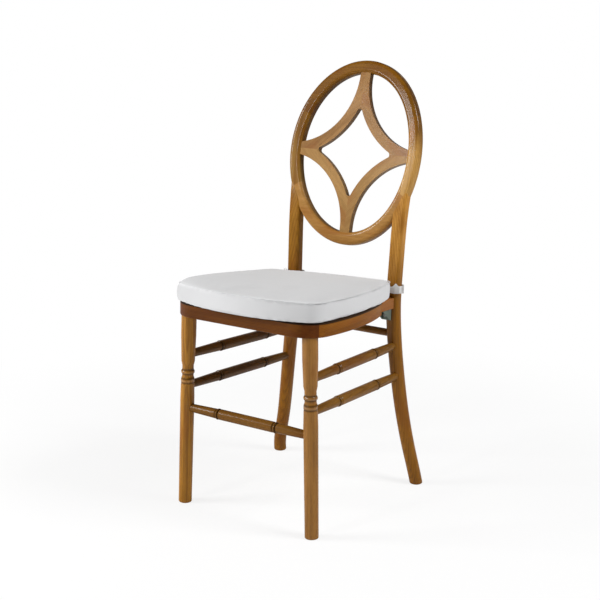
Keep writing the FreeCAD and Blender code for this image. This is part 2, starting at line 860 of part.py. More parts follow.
def make_front_corner(side):
    """Short bent block on top of a front leg."""
    outer = frame_curves(-size.cut_overrun)
    inner = frame_curves(size.rail_thickness)
    first, last = joint_angles()
    corners = [
        on_corner(first, outer.front_radius, outer.front_centre),
        on_corner(last, outer.front_radius, outer.front_centre),
        on_corner(last, inner.front_radius, inner.front_centre),
        on_corner(first, inner.front_radius, inner.front_centre),
    ]
    arcs = {
        0: (outer.front_centre, outer.front_radius, True),
        2: (inner.front_centre, inner.front_radius, False),
    }
    corners, arcs = mirrored(corners, arcs, side)
    return frame_piece("front_corner", corners, arcs)


def make_side_rail(side):
    """Side rail, bowed outwards, with its rear end bent in to the rear rail."""
    outer = frame_curves(-size.cut_overrun)
    inner = frame_curves(size.rail_thickness)
    _, angle = joint_angles()
    corners = [
        on_corner(angle, outer.front_radius, outer.front_centre),
        outer.front_touch,
        outer.rear_touch,
        (outer.rear_centre[0], outer.rear),
        (inner.rear_centre[0], inner.rear),
        inner.rear_touch,
        inner.front_touch,
        on_corner(angle, inner.front_radius, inner.front_centre),
    ]
    arcs = {
        0: (outer.front_centre, outer.front_radius, True),
        1: (outer.side_centre, outer.side_radius, True),
        2: (outer.rear_centre, outer.rear_radius, True),
        4: (inner.rear_centre, inner.rear_radius, False),
        5: (inner.side_centre, inner.side_radius, False),
        6: (inner.front_centre, inner.front_radius, False),
    }
    corners, arcs = mirrored(corners, arcs, side)
    return frame_piece("side_rail", corners, arcs)


def rectangle(left, right, front, back):
    """Corners of a rectangle, as sizes."""
    return [(left, front), (right, front), (right, back), (left, back)]


def make_rear_rail():
    """Straight rail between the side rails' rear ends."""
    lines = frame_curves(zero)
    reach = lines.rear_centre[0]
    back = size.frame_depth + size.cut_overrun
    corners = rectangle(-reach, reach, size.frame_depth - size.rail_thickness, back)
    return frame_piece("rear_rail", corners)


def make_seat_board():
    """Board let into the top of the rails on a ledge."""
    corners, arcs = whole_outline(size.rail_thickness - size.board_ledge)
    lift = Placement(Vector(0, 0, dim.rail_height - dim.board_thickness), Rotation())
    return prism("seat_board_blank", seat_place * lift, corners, size.board_thickness, arcs)


def frame_dowel(name, centre, direction):
    """Dowel half in each piece, above the front leg's tenon and outside the board."""
    start = centre - direction * (dim.frame_dowel_length / 2)
    lift = Vector(0, 0, dim.rail_height * FRAME_DOWEL_SHARES[0])
    place = seat_place * along(start + lift, direction)
    return cylinder(name, size.frame_dowel_radius, size.frame_dowel_length, place)


def make_frame_dowels():
    """Dowels across the corner blocks' faces and the rear rail's ends."""
    lines = frame_curves(size.rail_thickness * FRAME_DOWEL_SHARES[1])
    pins = []
    for _, side in SIDES:
        for angle in joint_angles():
            across, along_y = on_corner(angle, lines.front_radius, lines.front_centre)
            turn = math.radians(angle)
            direction = Vector(-side * math.sin(turn), math.cos(turn), 0)
            centre = Vector(side * across.value, along_y.value, 0)
            pins.append(frame_dowel("frame_dowel", centre, direction))
        centre = Vector(side * lines.rear_centre[0].value, lines.rear.value, 0)
        pins.append(frame_dowel("frame_dowel", centre, Vector(side, 0, 0)))
    return group(pins, "frame_dowels_group")


# Blocks, brackets and screws behind the frame

def rear_block_corners(side):
    """Rectangle that the block fills between the frame and the post."""
    outer = size.rear_block_reach
    inner = outer - size.rear_block_width
    front = size.frame_depth - size.rear_corner_radius
    back = size.back_leg_setback - size.back_leg_width / 2 + size.rear_block_housing
    if side > 0:
        return rectangle(inner, outer, front, back)
    return rectangle(-outer, -inner, front, back)


def post_front():
    """Distance from the frame's front to the front of the back legs, under the seat."""
    return size.back_leg_setback - size.back_leg_width / 2


def make_bracket(name, side):
    """Angle bracket of pressed sheet steel, a three cornered gusset at each edge."""
    thickness = size.bracket_thickness
    middle = dim.rear_block_reach - dim.rear_block_width / 2
    place = seat_place * Placement(Vector(side * middle, 0, 0), Rotation(Vector(0, 0, 1), Vector(1, 0, 0)))
    body = new_body(name, place)
    back = post_front()
    front = back - size.bracket_length
    drop = size.bracket_drop
    # The body's X axis points down and its Y axis back
    gusset = [
        (zero, front), (zero, back), (drop, back), (drop, back - thickness), (thickness, front),
    ]
    sketch = outline_sketch(body, name + "_gusset", "XY_Plane", gusset)
    pad(body, sketch, size.bracket_width, True)
    doc.recompute()
    inside = back - thickness
    hollow = rectangle(thickness, drop + size.cut_overrun, front - size.cut_overrun, inside)
    sketch = outline_sketch(body, name + "_hollow", "XY_Plane", hollow)
    pocket = body.newObject("PartDesign::Pocket", name + "_pressing")
    pocket.Profile = sketch
    pocket.Midplane = True
    pocket.setExpression("Length", (size.bracket_width - thickness * 2).formula)
    return body


def screw(name, start, direction, length):
    """Screw with a domed head whose underside is at start, pointing along direction."""
    corners = [
        (zero, -size.screw_head_height),
        (size.screw_head_radius / 2, -size.screw_head_height),
        (size.screw_head_radius, zero),
        (size.screw_radius, zero),
        (size.screw_radius, length - size.screw_radius),
        (zero, length),
    ]
    return turned(name, along(start, direction), corners)


def make_bracket_screws():
    """Two screws up into each block and two back into each post."""
    screws = []
    thickness = dim.bracket_thickness
    middle = dim.rear_block_reach - dim.rear_block_width / 2
    back = post_front().value
    spread = dim.bracket_width * BRACKET_SCREW_SPREAD_SHARE
    for _, side in SIDES:
        for shift in (-spread, spread):
            across = side * middle + shift
            under = Vector(across, back - dim.bracket_length * BRACKET_SCREW_SHARE, -thickness)
            front = Vector(across, back - thickness, -dim.bracket_drop * BRACKET_SCREW_SHARE)
            for start, direction in ((under, Vector(0, 0, 1)), (front, Vector(0, 1, 0))):
                start = seat_place.multVec(start)
                direction = seat_place.Rotation.multVec(direction)
                screws.append(screw("bracket_screw", start, direction, size.screw_length))
    return group(screws, "bracket_screws_group")


def make_board_screws():
    """Screws that hold the board down on the rails' ledge, heads let in."""
    screws = []
    top = dim.rail_height - dim.screw_head_height
    for _, side in SIDES:
        for across, back in BOARD_SCREW_SHARES:
            start = Vector(side * dim.side_reach * across, dim.frame_depth * back, top)
            start = seat_place.multVec(start)
            direction = seat_place.Rotation.multVec(Vector(0, 0, -1))
            screws.append(screw("board_screw", start, direction, size.board_screw_length))
    return group(screws, "board_screws_group")


# Cushion

def circles_meet(first, first_radius, second, second_radius):
    """The meeting point of two circles that has the larger X."""
    gap = second - first
    distance = gap.Length
    share = (distance ** 2 + first_radius ** 2 - second_radius ** 2) / (2 * distance)
    side = math.sqrt(first_radius ** 2 - share ** 2)
    axis = Vector(gap).normalize()
    foot = first + axis * share
    across = Vector(-axis.y, axis.x, 0) * side
    return max((foot + across, foot - across), key=lambda point: point.x)


def cushion_arcs():
    """Right half of the cushion's outline: centre and radius of each arc, front to rear."""
    reach = dim.side_reach + dim.cushion_side_overhang
    side = Vector(reach - dim.cushion_side_bow_radius, dim.side_widest, 0)
    front = Vector(0, dim.cushion_front_bow_radius - dim.cushion_front_overhang, 0)
    rear = Vector(0, dim.frame_depth + dim.cushion_rear_overhang - dim.cushion_rear_bow_radius, 0)
    front_corner = circles_meet(
        front, dim.cushion_front_bow_radius - dim.cushion_front_corner_radius,
        side, dim.cushion_side_bow_radius - dim.cushion_front_corner_radius,
    )
    rear_corner = circles_meet(
        rear, dim.cushion_rear_bow_radius - dim.cushion_rear_corner_radius,
        side, dim.cushion_side_bow_radius - dim.cushion_rear_corner_radius,
    )
    return (
        (front, dim.cushion_front_bow_radius),
        (front_corner, dim.cushion_front_corner_radius),
        (side, dim.cushion_side_bow_radius),
        (rear_corner, dim.cushion_rear_corner_radius),
        (rear, dim.cushion_rear_bow_radius),
    )


def cushion_wire(draw, height, share):
    """The cushion's outline drawn in by a length, sized by a share about its middle, at a height."""
    arcs = cushion_arcs()
    turns = [-math.pi / 2]
    for (centre, radius), (other, other_radius) in zip(arcs, arcs[1:]):
        way = other - centre if radius > other_radius else centre - other
        turns.append(math.atan2(way.y, way.x))
    turns.append(math.pi / 2)
    middle = Vector(0, (dim.frame_depth + dim.cushion_rear_overhang - dim.cushion_front_overhang) / 2, 0)
    right = []
    left = []
    for number, (centre, radius) in enumerate(arcs):
        points = []
        for part_way in (0.0, 0.5, 1.0):
            turn = turns[number] + (turns[number + 1] - turns[number]) * part_way
            point = centre + Vector(math.cos(turn), math.sin(turn), 0) * (radius - draw)
            point = middle + (point - middle) * share
            points.append(Vector(point.x, point.y, height))
        right.append(bend(*points))
        left.insert(0, bend(*[Vector(-point.x, point.y, height) for point in reversed(points)]))
    return Part.Wire(right + left)


def make_cushion(label):
    """Boxed cushion with drawn in sides and a crown that starts at the upper seam."""
    base = dim.rail_height + dim.soft_clearance
    boxing = []
    for height, draw in zip(CUSHION_HEIGHT_SHARES, CUSHION_DRAW_SHARES):
        level = base + dim.cushion_thickness * height
        boxing.append(cushion_wire(dim.cushion_drawn_in * draw, level, 1.0))
    seam = base + dim.cushion_thickness
    crown = []
    for rise, share in zip(CROWN_RISE_SHARES, CROWN_SIZE_SHARES):
        crown.append(cushion_wire(dim.cushion_drawn_in, seam + dim.cushion_crown * rise, share))
    sides = Part.makeLoft(boxing, True, False)
    cushion = doc.addObject("Part::Feature", label)
    cushion.Shape = sides.fuse(Part.makeLoft(crown, True, False))
    cushion.Placement = seat_place
    return cushion


def make_strap(label, side):
    """Flat strap from the cushion's rear corner round the post, with its free end standing out."""
    level = seat_place.multVec(Vector(0, dim.back_leg_setback, dim.rail_height + dim.strap_lift)).z
    centre = back_leg_at(side, level + dim.strap_width / 2)
    centre = Vector(centre.x, centre.y, level)
    width, depth, radius = back_leg_section(level / back_leg_joint_height)
    gap = dim.soft_clearance * 2
    inner = section_wire(centre, width + gap * 2, depth + gap * 2, radius + gap)
    wall = gap + dim.strap_thickness
    outer = section_wire(centre, width + wall * 2, depth + wall * 2, radius + wall)
    up = Vector(0, 0, dim.strap_width)
    loop = Part.Face(outer).extrude(up).cut(Part.Face(inner).extrude(up))
    front = centre.y - depth / 2 - wall
    cushion_rear = dim.frame_depth + dim.cushion_rear_overhang
    rear = seat_place.multVec(Vector(0, cushion_rear, dim.rail_height)).y
    tail_length = front - rear + dim.strap_thickness + dim.cushion_rear_corner_radius / 2
    corner = Vector(centre.x - dim.strap_thickness / 2, front - tail_length + dim.strap_thickness, level)
    tail = Part.makeBox(dim.strap_thickness, tail_length, dim.strap_width, corner)
    tab_start = centre.x + side * (width / 2 + wall) - (dim.strap_tab if side < 0 else 0)
    tab_corner = Vector(tab_start, centre.y - dim.strap_thickness, level)
    tab = Part.makeBox(dim.strap_tab, dim.strap_thickness, dim.strap_width, tab_corner)
    strap = doc.addObject("Part::Feature", label + "_blank")
    strap.Shape = loop.fuse([tail, tab]).removeSplitter()
    strap.Placement = Placement()
    return strap


# The back: ring segments, star strips and dowels

ring_block_depth = size.ring_depth * 4
ring_core = oval("ring_core", size.ring_half_width, size.ring_half_height, ring_block_depth)
ring_bore = oval(
    "ring_bore", size.ring_half_width - size.ring_band,
    size.ring_half_height - size.ring_band, ring_block_depth * 2,
)
star_field = oval(
    "star_field", size.ring_half_width - size.ring_band + size.star_tongue,
    size.ring_half_height - size.ring_band + size.star_tongue, ring_block_depth,
)
ring_plate = curved_plate("ring_plate", dim.ring_depth)
star_plate = curved_plate("star_plate", dim.star_thickness)
ring_heart = oval(
    "ring_heart", size.ring_half_width - size.ring_front_round,
    size.ring_half_height - size.ring_front_round, ring_block_depth,
)
ring_band_block = cut(ring_core, ring_bore, "ring_band_block")
ring_square = common(ring_band_block, ring_plate, "ring_square")

star_strips = {}
for level_name, level in (("upper", 1), ("lower", -1)):
    for side_name, side in SIDES:
        label = "star_strip_%s_%s" % (level_name, side_name)
        star_strips[label] = finish(make_star_strip(label, side, level), label)

ring_pins = []
for up in (1, -1):
    for _, side in SIDES:
        ray = Vector(side * dim.ring_half_width, up * dim.ring_joint_rise, 0).normalize()
        centre = ray * ((ring_radius(ray, 0) + ring_radius(ray, dim.ring_band)) / 2)
        direction = Vector(-ray.y, ray.x, 0)
        for shift in (-0.5, 0.5):
            point = centre + ray * (dim.ring_dowel_spacing * shift)
            start = on_ring(point.x, point.y) - direction * (dim.ring_dowel_length / 2)
            place = ring_place * along(start, direction)
            ring_pins.append(cylinder("ring_dowel", size.ring_dowel_radius, size.ring_dowel_length, place))
ring_dowels = finish(group(ring_pins, "ring_dowels_group"), "ring_dowels")

post_pins = []
for _, side in SIDES:
    turn = math.pi * POST_DOWEL_TURN_SHARE
    place = Vector(side * dim.ring_half_width * math.cos(turn), dim.ring_half_height * math.sin(turn), 0)
    square = Vector(place.x / dim.ring_half_width ** 2, place.y / dim.ring_half_height ** 2, 0).normalize()
    start = on_ring(place.x, place.y) - square * (dim.post_dowel_length / 2)
    post_pins.append(
        cylinder("post_dowel", size.post_dowel_radius, size.post_dowel_length, ring_place * along(start, square))
    )
post_dowels = finish(group(post_pins, "post_dowels_group"), "post_dowels")

ring_segments = []
ring_wedges = (
    ("ring_top", (1, 1), (-1, 1)),
    ("ring_left", (-1, 1), (-1, -1)),
    ("ring_bottom", (-1, -1), (1, -1)),
    ("ring_right", (1, -1), (1, 1)),
)
for label, first, second in ring_wedges:
    squared = common(ring_square, wedge(label + "_wedge", first, second), label + "_square")
    segment = rounded(squared, label + "_rounded")
    ring_segments.append(segment)
    tools = [ring_dowels, post_dowels] + list(star_strips.values())
    finish(cut_all(segment, tools, label), label)

# Legs and stretchers

floor = doc.addObject("Part::Box", "floor")
for edge in ("Length", "Width"):
    floor.setExpression(edge, (size.frame_depth * 2).formula)
floor.setExpression("Height", size.cut_overrun.formula)
floor.Placement = Placement(Vector(-dim.frame_depth, -dim.frame_depth, -dim.cut_overrun), Rotation())
front_turnings = {}
back_blanks = {}
for side_name, side in SIDES:
    front_turnings[side] = make_front_leg("front_leg_" + side_name, side)
    back_blanks[side] = make_back_leg("back_leg_" + side_name, side)

stretchers = []
for side_name, side in SIDES:
    for level_name, drop in (("upper", dim.side_upper_drop), ("lower", dim.side_lower_drop)):
        label = "side_stretcher_%s_%s" % (level_name, side_name)
        height = dim.seat_height - drop
        body = make_stretcher(
            label + "_turning", front_leg_at(side, height),
            back_leg_at(side, height - dim.side_stretcher_fall),
            SIDE_BEAD_SHARES, dim.leg_top_radius, dim.back_leg_width / 2,
        )
        stretchers.append(finish(body, label))
front_stretcher_height = dim.seat_height - dim.front_stretcher_drop
front_stretcher = make_stretcher(
    "front_stretcher_turning", front_leg_at(-1, front_stretcher_height),
    front_leg_at(1, front_stretcher_height), FRONT_BEAD_SHARES,
    dim.leg_belly_radius, dim.leg_belly_radius,
)
stretchers.append(finish(front_stretcher, "front_stretcher"))
back_stretcher_height = dim.seat_height - dim.back_stretcher_drop
back_stretcher = make_back_stretcher(
    "back_stretcher_turning", back_leg_at(-1, back_stretcher_height),
    back_leg_at(1, back_stretcher_height), dim.back_leg_width / 2,
)
stretchers.append(finish(back_stretcher, "back_stretcher"))

bracket_screws = finish(make_bracket_screws(), "bracket_screws")
for side_name, side in SIDES:
    same_side = [body for body in stretchers if side_name in body.Label or "side" not in body.Label]
    label = "front_leg_" + side_name
    finish(cut_all(front_turnings[side], [floor] + same_side, label), label)
    label = "back_leg_" + side_name
    tools = [ring_heart, *ring_segments[1:], post_dowels, bracket_screws] + same_side
    finish(cut_all(back_blanks[side], tools, label), label)

# Seat

whole_corners, whole_arcs = whole_outline(zero)
frame_block = prism("frame_block", seat_place, whole_corners, size.rail_height, whole_arcs)
rounded_frame_block = round_rims(frame_block, dim.rail_round, "rounded_frame_block")
seat_board_blank = make_seat_board()
board_screws = finish(make_board_screws(), "board_screws")
frame_dowels = finish(make_frame_dowels(), "frame_dowels")
fittings = [seat_board_blank, frame_dowels, board_screws]
finish(cut_all(seat_board_blank, [board_screws], "seat_board"), "seat_board")
finish(cut_all(make_front_rail(), fittings, "front_rail"), "front_rail")
finish(cut_all(make_rear_rail(), fittings, "rear_rail"), "rear_rail")
for side_name, side in SIDES:
    label = "front_corner_" + side_name
    finish(cut_all(make_front_corner(side), fittings + [front_turnings[side]], label), label)
    label = "side_rail_" + side_name
    finish(cut_all(make_side_rail(side), fittings, label), label)
    label = "rear_block_" + side_name
    block = prism(label + "_blank", seat_place, rear_block_corners(side), size.rear_block_height)
    finish(cut_all(block, [frame_block, back_blanks[side], bracket_screws], label), label)
    label = "corner_bracket_" + side_name
    bracket = make_bracket(label + "_sheet", side)
    finish(cut_all(bracket, [back_blanks[side], bracket_screws], label), label)

cushion = finish(make_cushion("seat_cushion"), "seat_cushion")
for side_name, side in SIDES:
    label = "cushion_strap_" + side_name
    finish(cut_all(make_strap(label, side), [cushion], label), label)

# Checks and export

doc.recompute()
for thing in doc.Objects:
    if "Invalid" in thing.State or "Error" in thing.State:
        raise RuntimeError("%s is in state %s" % (thing.Label, thing.State))
for thing in parts:
    if thing.Shape.isNull() or not thing.Shape.isValid() or not thing.Shape.Solids:
        raise RuntimeError("%s has no valid solid" % thing.Label)

os.makedirs("parts", exist_ok=True)
for thing in parts:
    thing.Shape.exportStep("parts/%s.step" % thing.Label)
    box = thing.Shape.BoundBox
    print("%-26s solids %2d volume %9.0f mm3" % (thing.Label, len(thing.Shape.Solids), thing.Shape.Volume))
whole = Part.makeCompound([thing.Shape for thing in parts]).BoundBox
print("box X %.1f %.1f Y %.1f %.1f Z %.1f %.1f" % (
    whole.XMin, whole.XMax, whole.YMin, whole.YMax, whole.ZMin, whole.ZMax))
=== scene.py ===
# %% [markdown]
# # A wooden dining chair with an oval star back
#
# This lesson dresses a chair that was drawn in a CAD program. The CAD model gives every wooden
# and steel piece at its real size, in metres, with the floor at z = 0 and the front of the chair
# towards -Y. What is left for Blender is what CAD does badly: stained and lacquered wood, a
# stuffed cushion with a sewn cover, and the bands that tie it to the chair.
#
# The order is: the frame, the camera, a small language for materials, the floor and the light,
# the wood, the steel, the cushion, and at last its bands.

# %% The CAD model, which stays as it is
import math
from functools import reduce

import bpy
import numpy as np
from mathutils import Matrix, Vector


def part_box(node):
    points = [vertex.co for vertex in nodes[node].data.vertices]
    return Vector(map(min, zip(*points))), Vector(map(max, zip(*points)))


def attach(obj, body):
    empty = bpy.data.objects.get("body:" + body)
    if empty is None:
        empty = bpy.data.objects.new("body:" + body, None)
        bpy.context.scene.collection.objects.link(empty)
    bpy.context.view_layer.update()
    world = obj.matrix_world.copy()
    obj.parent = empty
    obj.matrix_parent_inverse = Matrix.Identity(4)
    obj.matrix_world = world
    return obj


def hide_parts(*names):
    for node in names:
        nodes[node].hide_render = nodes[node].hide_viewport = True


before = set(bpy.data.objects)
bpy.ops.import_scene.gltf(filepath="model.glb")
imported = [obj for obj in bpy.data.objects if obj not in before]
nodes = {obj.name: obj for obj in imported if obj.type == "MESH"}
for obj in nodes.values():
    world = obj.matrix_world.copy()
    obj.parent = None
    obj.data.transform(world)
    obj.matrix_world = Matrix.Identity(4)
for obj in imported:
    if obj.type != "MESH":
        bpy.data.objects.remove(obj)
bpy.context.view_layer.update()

# %% [markdown]
# ## The camera
#
# The place of the camera was worked out from the photograph: the four legs, the seat and the
# ring of the back fix it to about one pixel. It stands 35 degrees round from straight ahead,
# towards +X, and somewhat above the back, far enough away that the legs hardly converge. A
# camera could also be placed by eye, but then no outline could be compared.

# %% Camera
CAMERA_AT = Vector((1.5331, -2.1871, 1.0765))
CAMERA_AIM = Vector((0.0257, -0.0551, 0.4431))
CAMERA_LENS = 76.81

camera_data = bpy.data.cameras.new("camera")
camera_data.lens = CAMERA_LENS
camera_data.sensor_width = 36.0
camera = bpy.data.objects.new("camera", camera_data)
bpy.context.scene.collection.objects.link(camera)
camera.location = CAMERA_AT
camera.rotation_euler = (CAMERA_AIM - CAMERA_AT).to_track_quat("-Z", "Y").to_euler()
bpy.context.scene.camera = camera
print("camera distance:", round((CAMERA_AIM - CAMERA_AT).length, 3))

# %% [markdown]
# ## A small language for materials
#
# A procedural material is a sum written with nodes, and sums are easier to read as sums. Signal
# wraps one socket, so that plus, minus, times and power add the matching Math nodes by
# themselves. Every other node is made from its type, its settings and its inputs, by the method
# node, or by add, which gives one output of it.

# %% Signal and Finish
class Signal:
    """One output socket, with arithmetic."""

    def __init__(self, finish, socket):
        self.finish = finish
        self.socket = socket

    def join(self, operation, *others, swap=False):
        """A Math node of this number and the others, or of the others and this number."""
        values = [self, *others]
        if swap:
            values.reverse()
        return self.finish.add("ShaderNodeMath", {"operation": operation}, dict(enumerate(values)))

    def __add__(self, other):
        return self.join("ADD", other)

    def __sub__(self, other):
        return self.join("SUBTRACT", other)

    def __mul__(self, other):
        return self.join("MULTIPLY", other)

    def __pow__(self, other):
        return self.join("POWER", other)

    def __rsub__(self, other):
        return self.join("SUBTRACT", other, swap=True)

    __radd__ = __add__
    __rmul__ = __mul__

    def __abs__(self):
        return self.join("ABSOLUTE")

    def sine(self):
        return self.join("SINE")

    def fraction(self):
        return self.join("FRACT")

    def highest(self, other):
        return self.join("MAXIMUM", other)

    def rise(self, low, high):
        """0 below low, 1 above high, and a smooth step between them."""
        settings = {"interpolation_type": "SMOOTHSTEP"}
        inputs = {"Value": self, "From Min": low, "From Max": high}
        return self.finish.add("ShaderNodeMapRange", settings, inputs, "Result")

    def near(self, place, reach):
        """1 at a place, falling smoothly to 0 at a reach from it."""
        return 1 - abs(self - place).rise(0.0, reach)

    def axes(self):
        """The three numbers of a vector."""
        node = self.finish.node("ShaderNodeSeparateXYZ", {}, {"Vector": self})
        return [Signal(self.finish, socket) for socket in node.outputs]


class Finish:
    """A material whose nodes are written as sums."""

    def __init__(self, name):
        self.material = bpy.data.materials.new(name)
        self.material.use_nodes = True
        self.tree = self.material.node_tree
        self.shader = self.tree.nodes["Principled BSDF"]

    def node(self, kind, settings, inputs):
        """A new node, with its settings made and its inputs fed."""
        made = self.tree.nodes.new(kind)
        for key, value in settings.items():
            setattr(made, key, value)
        for key, value in inputs.items():
            self.feed(self.find(made.inputs, key), value)
        return made

    def find(self, sockets, key):
        """A socket by its number, or the switched on one by its name."""
        if isinstance(key, int):
            return sockets[key]
        return next(socket for socket in sockets if socket.name == key and socket.enabled)

    def feed(self, socket, value):
        """Link a signal to a socket, or give the socket a constant."""
        if isinstance(value, Signal):
            self.tree.links.new(value.socket, socket)
        elif socket.type == "RGBA" and len(value) == 3:
            socket.default_value = (*value, 1.0)
        else:
            socket.default_value = value

    def add(self, kind, settings, inputs, output=0):
        """One output of a new node."""
        made = self.node(kind, settings, inputs)
        return Signal(self, self.find(made.outputs, output))

    def place(self, rotation=(0.0, 0.0, 0.0)):
        """Object coordinates, turned."""
        point = self.add("ShaderNodeTexCoord", {}, {}, "Object")
        return self.add("ShaderNodeMapping", {}, {"Vector": point, "Rotation": rotation})

    def stretch(self, point, scale):
        """A vector times three fixed numbers."""
        return self.add("ShaderNodeVectorMath", {"operation": "MULTIPLY"}, {0: point, 1: scale})

    def noise(self, point, scale, detail=2.0, roughness=0.5):
        """Cloudy noise, with about scale clouds to the metre."""
        inputs = {"Vector": point, "Scale": scale, "Detail": detail, "Roughness": roughness}
        return self.add("ShaderNodeTexNoise", {}, inputs, "Fac")

    def mix(self, factor, first, second):
        """A colour between two colours."""
        settings = {"data_type": "RGBA", "blend_type": "MIX"}
        inputs = {"Factor": factor, "A": first, "B": second}
        return self.add("ShaderNodeMix", settings, inputs, "Result")

    def bump(self, height, distance, strength=1.0):
        """A height in 0 to 1, with the real height of 1 in metres."""
        inputs = {"Height": height, "Distance": distance, "Strength": strength}
        return self.add("ShaderNodeBump", {}, inputs, "Normal")

    def wear(self, **inputs):
        """Feed the shader's own sockets, and give the material."""
        for name, value in inputs.items():
            self.feed(self.find(self.shader.inputs, name.replace("_", " ")), value)
        return self.material


def times(share, colour):
    """A colour with every part times a share."""
    return tuple(share * part for part in colour)


# %% [markdown]
# ## Floor, backdrop and light
#
# The chair stands in a white studio: one curved sheet, so the floor runs into the wall with no
# corner. The camera sees that sheet plain white, but it still takes the chair's soft shadow.
# Two ways lead there. More light would bleach the chair, so the white comes from the sheet's own
# material instead: seen by the camera it is mostly a white glow, with some plain floor mixed in
# near the chair that carries its shadow. Further off it is all glow, so the wall stays even.

# %% Meshes and floor
def smooth(mesh):
    """Shade a mesh smooth."""
    mesh.polygons.foreach_set("use_smooth", np.ones(len(mesh.polygons), dtype=bool))


def mesh_from(name, points, faces):
    """A smooth mesh from an array of points and a list of faces."""
    mesh = bpy.data.meshes.new(name)
    mesh.from_pydata(points.reshape(-1, 3).tolist(), [], faces)
    smooth(mesh)
    return mesh


def swept_sheet(width, front, back, radius, height, count=24):
    """A floor that bends up into a wall.

    The profile is a flat run, a quarter circle of the given radius, and a straight rise. The
    sheet is that profile moved along X.
    """
    turn = np.linspace(0.0, np.pi / 2, count)
    y = np.concatenate(([front], back + radius * np.sin(turn), [back + radius]))
    z = np.concatenate(([0.0], radius - radius * np.cos(turn), [height]))
    x = np.array([-width / 2, width / 2])
    points = np.stack([np.repeat(x, len(y)), np.tile(y, 2), np.tile(z, 2)], axis=1)
    first = np.arange(len(y) - 1)
    faces = np.stack([first, first + len(y), first + len(y) + 1, first + 1], axis=1)
    return mesh_from("studio_sheet", points, faces.tolist())


sheet_mesh = swept_sheet(width=16.0, front=-6.0, back=4.0, radius=1.5, height=6.0)
studio = bpy.data.objects.new("studio_sheet", sheet_mesh)
bpy.context.scene.collection.objects.link(studio)

FLOOR_WHITE = 0.90
FLOOR_SHARE = 0.19
SHADOW_WHOLE, SHADOW_GONE = 0.55, 1.3

paper = Finish("studio_white")
seen = paper.add("ShaderNodeLightPath", {}, {}, "Is Camera Ray")
paper.wear(Base_Color=(FLOOR_WHITE, FLOOR_WHITE, FLOOR_WHITE), Roughness=0.9, Specular_IOR_Level=0.1)
glow = paper.node("ShaderNodeEmission", {}, {"Color": (1.0, 1.0, 1.0), "Strength": 1.0})
from_chair = paper.add("ShaderNodeVectorMath", {"operation": "LENGTH"}, {0: paper.place()}, "Value")
carries_shadow = (1 - from_chair.rise(SHADOW_WHOLE, SHADOW_GONE)) * FLOOR_SHARE
blend = paper.node("ShaderNodeMixShader", {}, {0: seen * (1 - carries_shadow)})
paper.tree.links.new(paper.shader.outputs[0], blend.inputs[1])
paper.tree.links.new(glow.outputs[0], blend.inputs[2])
paper.tree.links.new(blend.outputs[0], paper.tree.nodes["Material Output"].inputs["Surface"])
studio.data.materials.append(paper.material)

# %% Lamps
CHAIR_MIDDLE = Vector((0.0, 0.0, 0.45))
LAMP_REACH = 3.3
AIR_LIGHT = 0.15


def soft_lamp(name, round_by, up_by, size, power):
    """A square lamp that looks at the middle of the chair.

    It stands round_by degrees round from straight ahead, towards +X, and up_by degrees above.
    """
    turn, rise = math.radians(round_by), math.radians(up_by)
    level = math.cos(rise)
    way = Vector((math.sin(turn) * level, -math.cos(turn) * level, math.sin(rise)))
    place = CHAIR_MIDDLE + way * LAMP_REACH
    data = bpy.data.lights.new(name, "AREA")
    data.shape = "SQUARE"
    data.size = size
    data.energy = power
    lamp = bpy.data.objects.new(name, data)
    lamp.location = place
    lamp.rotation_euler = (CHAIR_MIDDLE - place).to_track_quat("-Z", "Y").to_euler()
    bpy.context.scene.collection.objects.link(lamp)


soft_lamp("left_lamp", round_by=-50.0, up_by=22.0, size=1.0, power=86.0)
soft_lamp("front_lamp", round_by=-13.0, up_by=22.0, size=0.42, power=20.0)
soft_lamp("right_lamp", round_by=100.0, up_by=44.0, size=1.1, power=80.0)

air = bpy.data.worlds.new("studio_air")
air.use_nodes = True
air.node_tree.nodes["Background"].inputs["Color"].default_value = (1.0, 1.0, 1.0, 1.0)
air.node_tree.nodes["Background"].inputs["Strength"].default_value = AIR_LIGHT
bpy.context.scene.world = air
bpy.context.scene.view_settings.view_transform = "Standard"

# %% [markdown]
# ## Stained and lacquered wood
#
# The real chair is a close grained hardwood, such as beech, brushed with a golden brown stain
# and sprayed with satin lacquer. A photograph of boards could be wrapped round it, but a
# photograph has no inside: at a joint or on a turned bead its lines would bend wrongly. Here the
# wood is solid instead. Its year rings are cylinders round a pith beside each piece, cut by
# whatever surface the piece has, and the fibres run along the piece.
#
# Wide cloudy patches of stain, the year rings, streaks and fine fibres move the colour between
# two tones of the piece, a light one and a dark one. Redder patches and short dark pores lie on
# top. The grooves of the turning are drawn darker, and the sawn side faces of the ring and the
# star carry painted shade. Most pieces have tones of their own, partly because stain takes
# differently from piece to piece and partly as painted light and shade, and a piece whose colour
# changes with its height goes over to another pair of tones.

# %% Tones of the wood
LEG_LEFT = ((0.450, 0.200, 0.022), (0.200, 0.078, 0.005))
LEG_RIGHT = ((0.335, 0.152, 0.030), (0.165, 0.068, 0.010))
# The back legs below the seat: darker, partly for painted shade under the seat
BACK_LEG_SHADED = ((0.262, 0.102, 0.003), (0.135, 0.048, 0.001))
POST_LEFT = ((0.372, 0.168, 0.019), (0.200, 0.082, 0.006))
POST_RIGHT = ((0.590, 0.285, 0.055), (0.345, 0.145, 0.018))
# The left stretchers: darker for painted shade, as they are seen from inside under the seat
TURNED_LEFT_SHADED = ((0.128, 0.056, 0.009), (0.068, 0.026, 0.003))
TURNED_RIGHT = ((0.215, 0.096, 0.013), (0.115, 0.045, 0.005))
TURNED_FRONT = ((0.180, 0.078, 0.011), (0.098, 0.038, 0.004))
FRONT_RAIL = ((0.142, 0.044, 0.002), (0.075, 0.020, 0.001))
SIDE_RAIL = ((0.275, 0.097, 0.006), (0.152, 0.047, 0.002))
CORNER = ((0.137, 0.036, 0.002), (0.076, 0.018, 0.001))
RING_LEFT = ((0.300, 0.154, 0.028), (0.165, 0.074, 0.009))
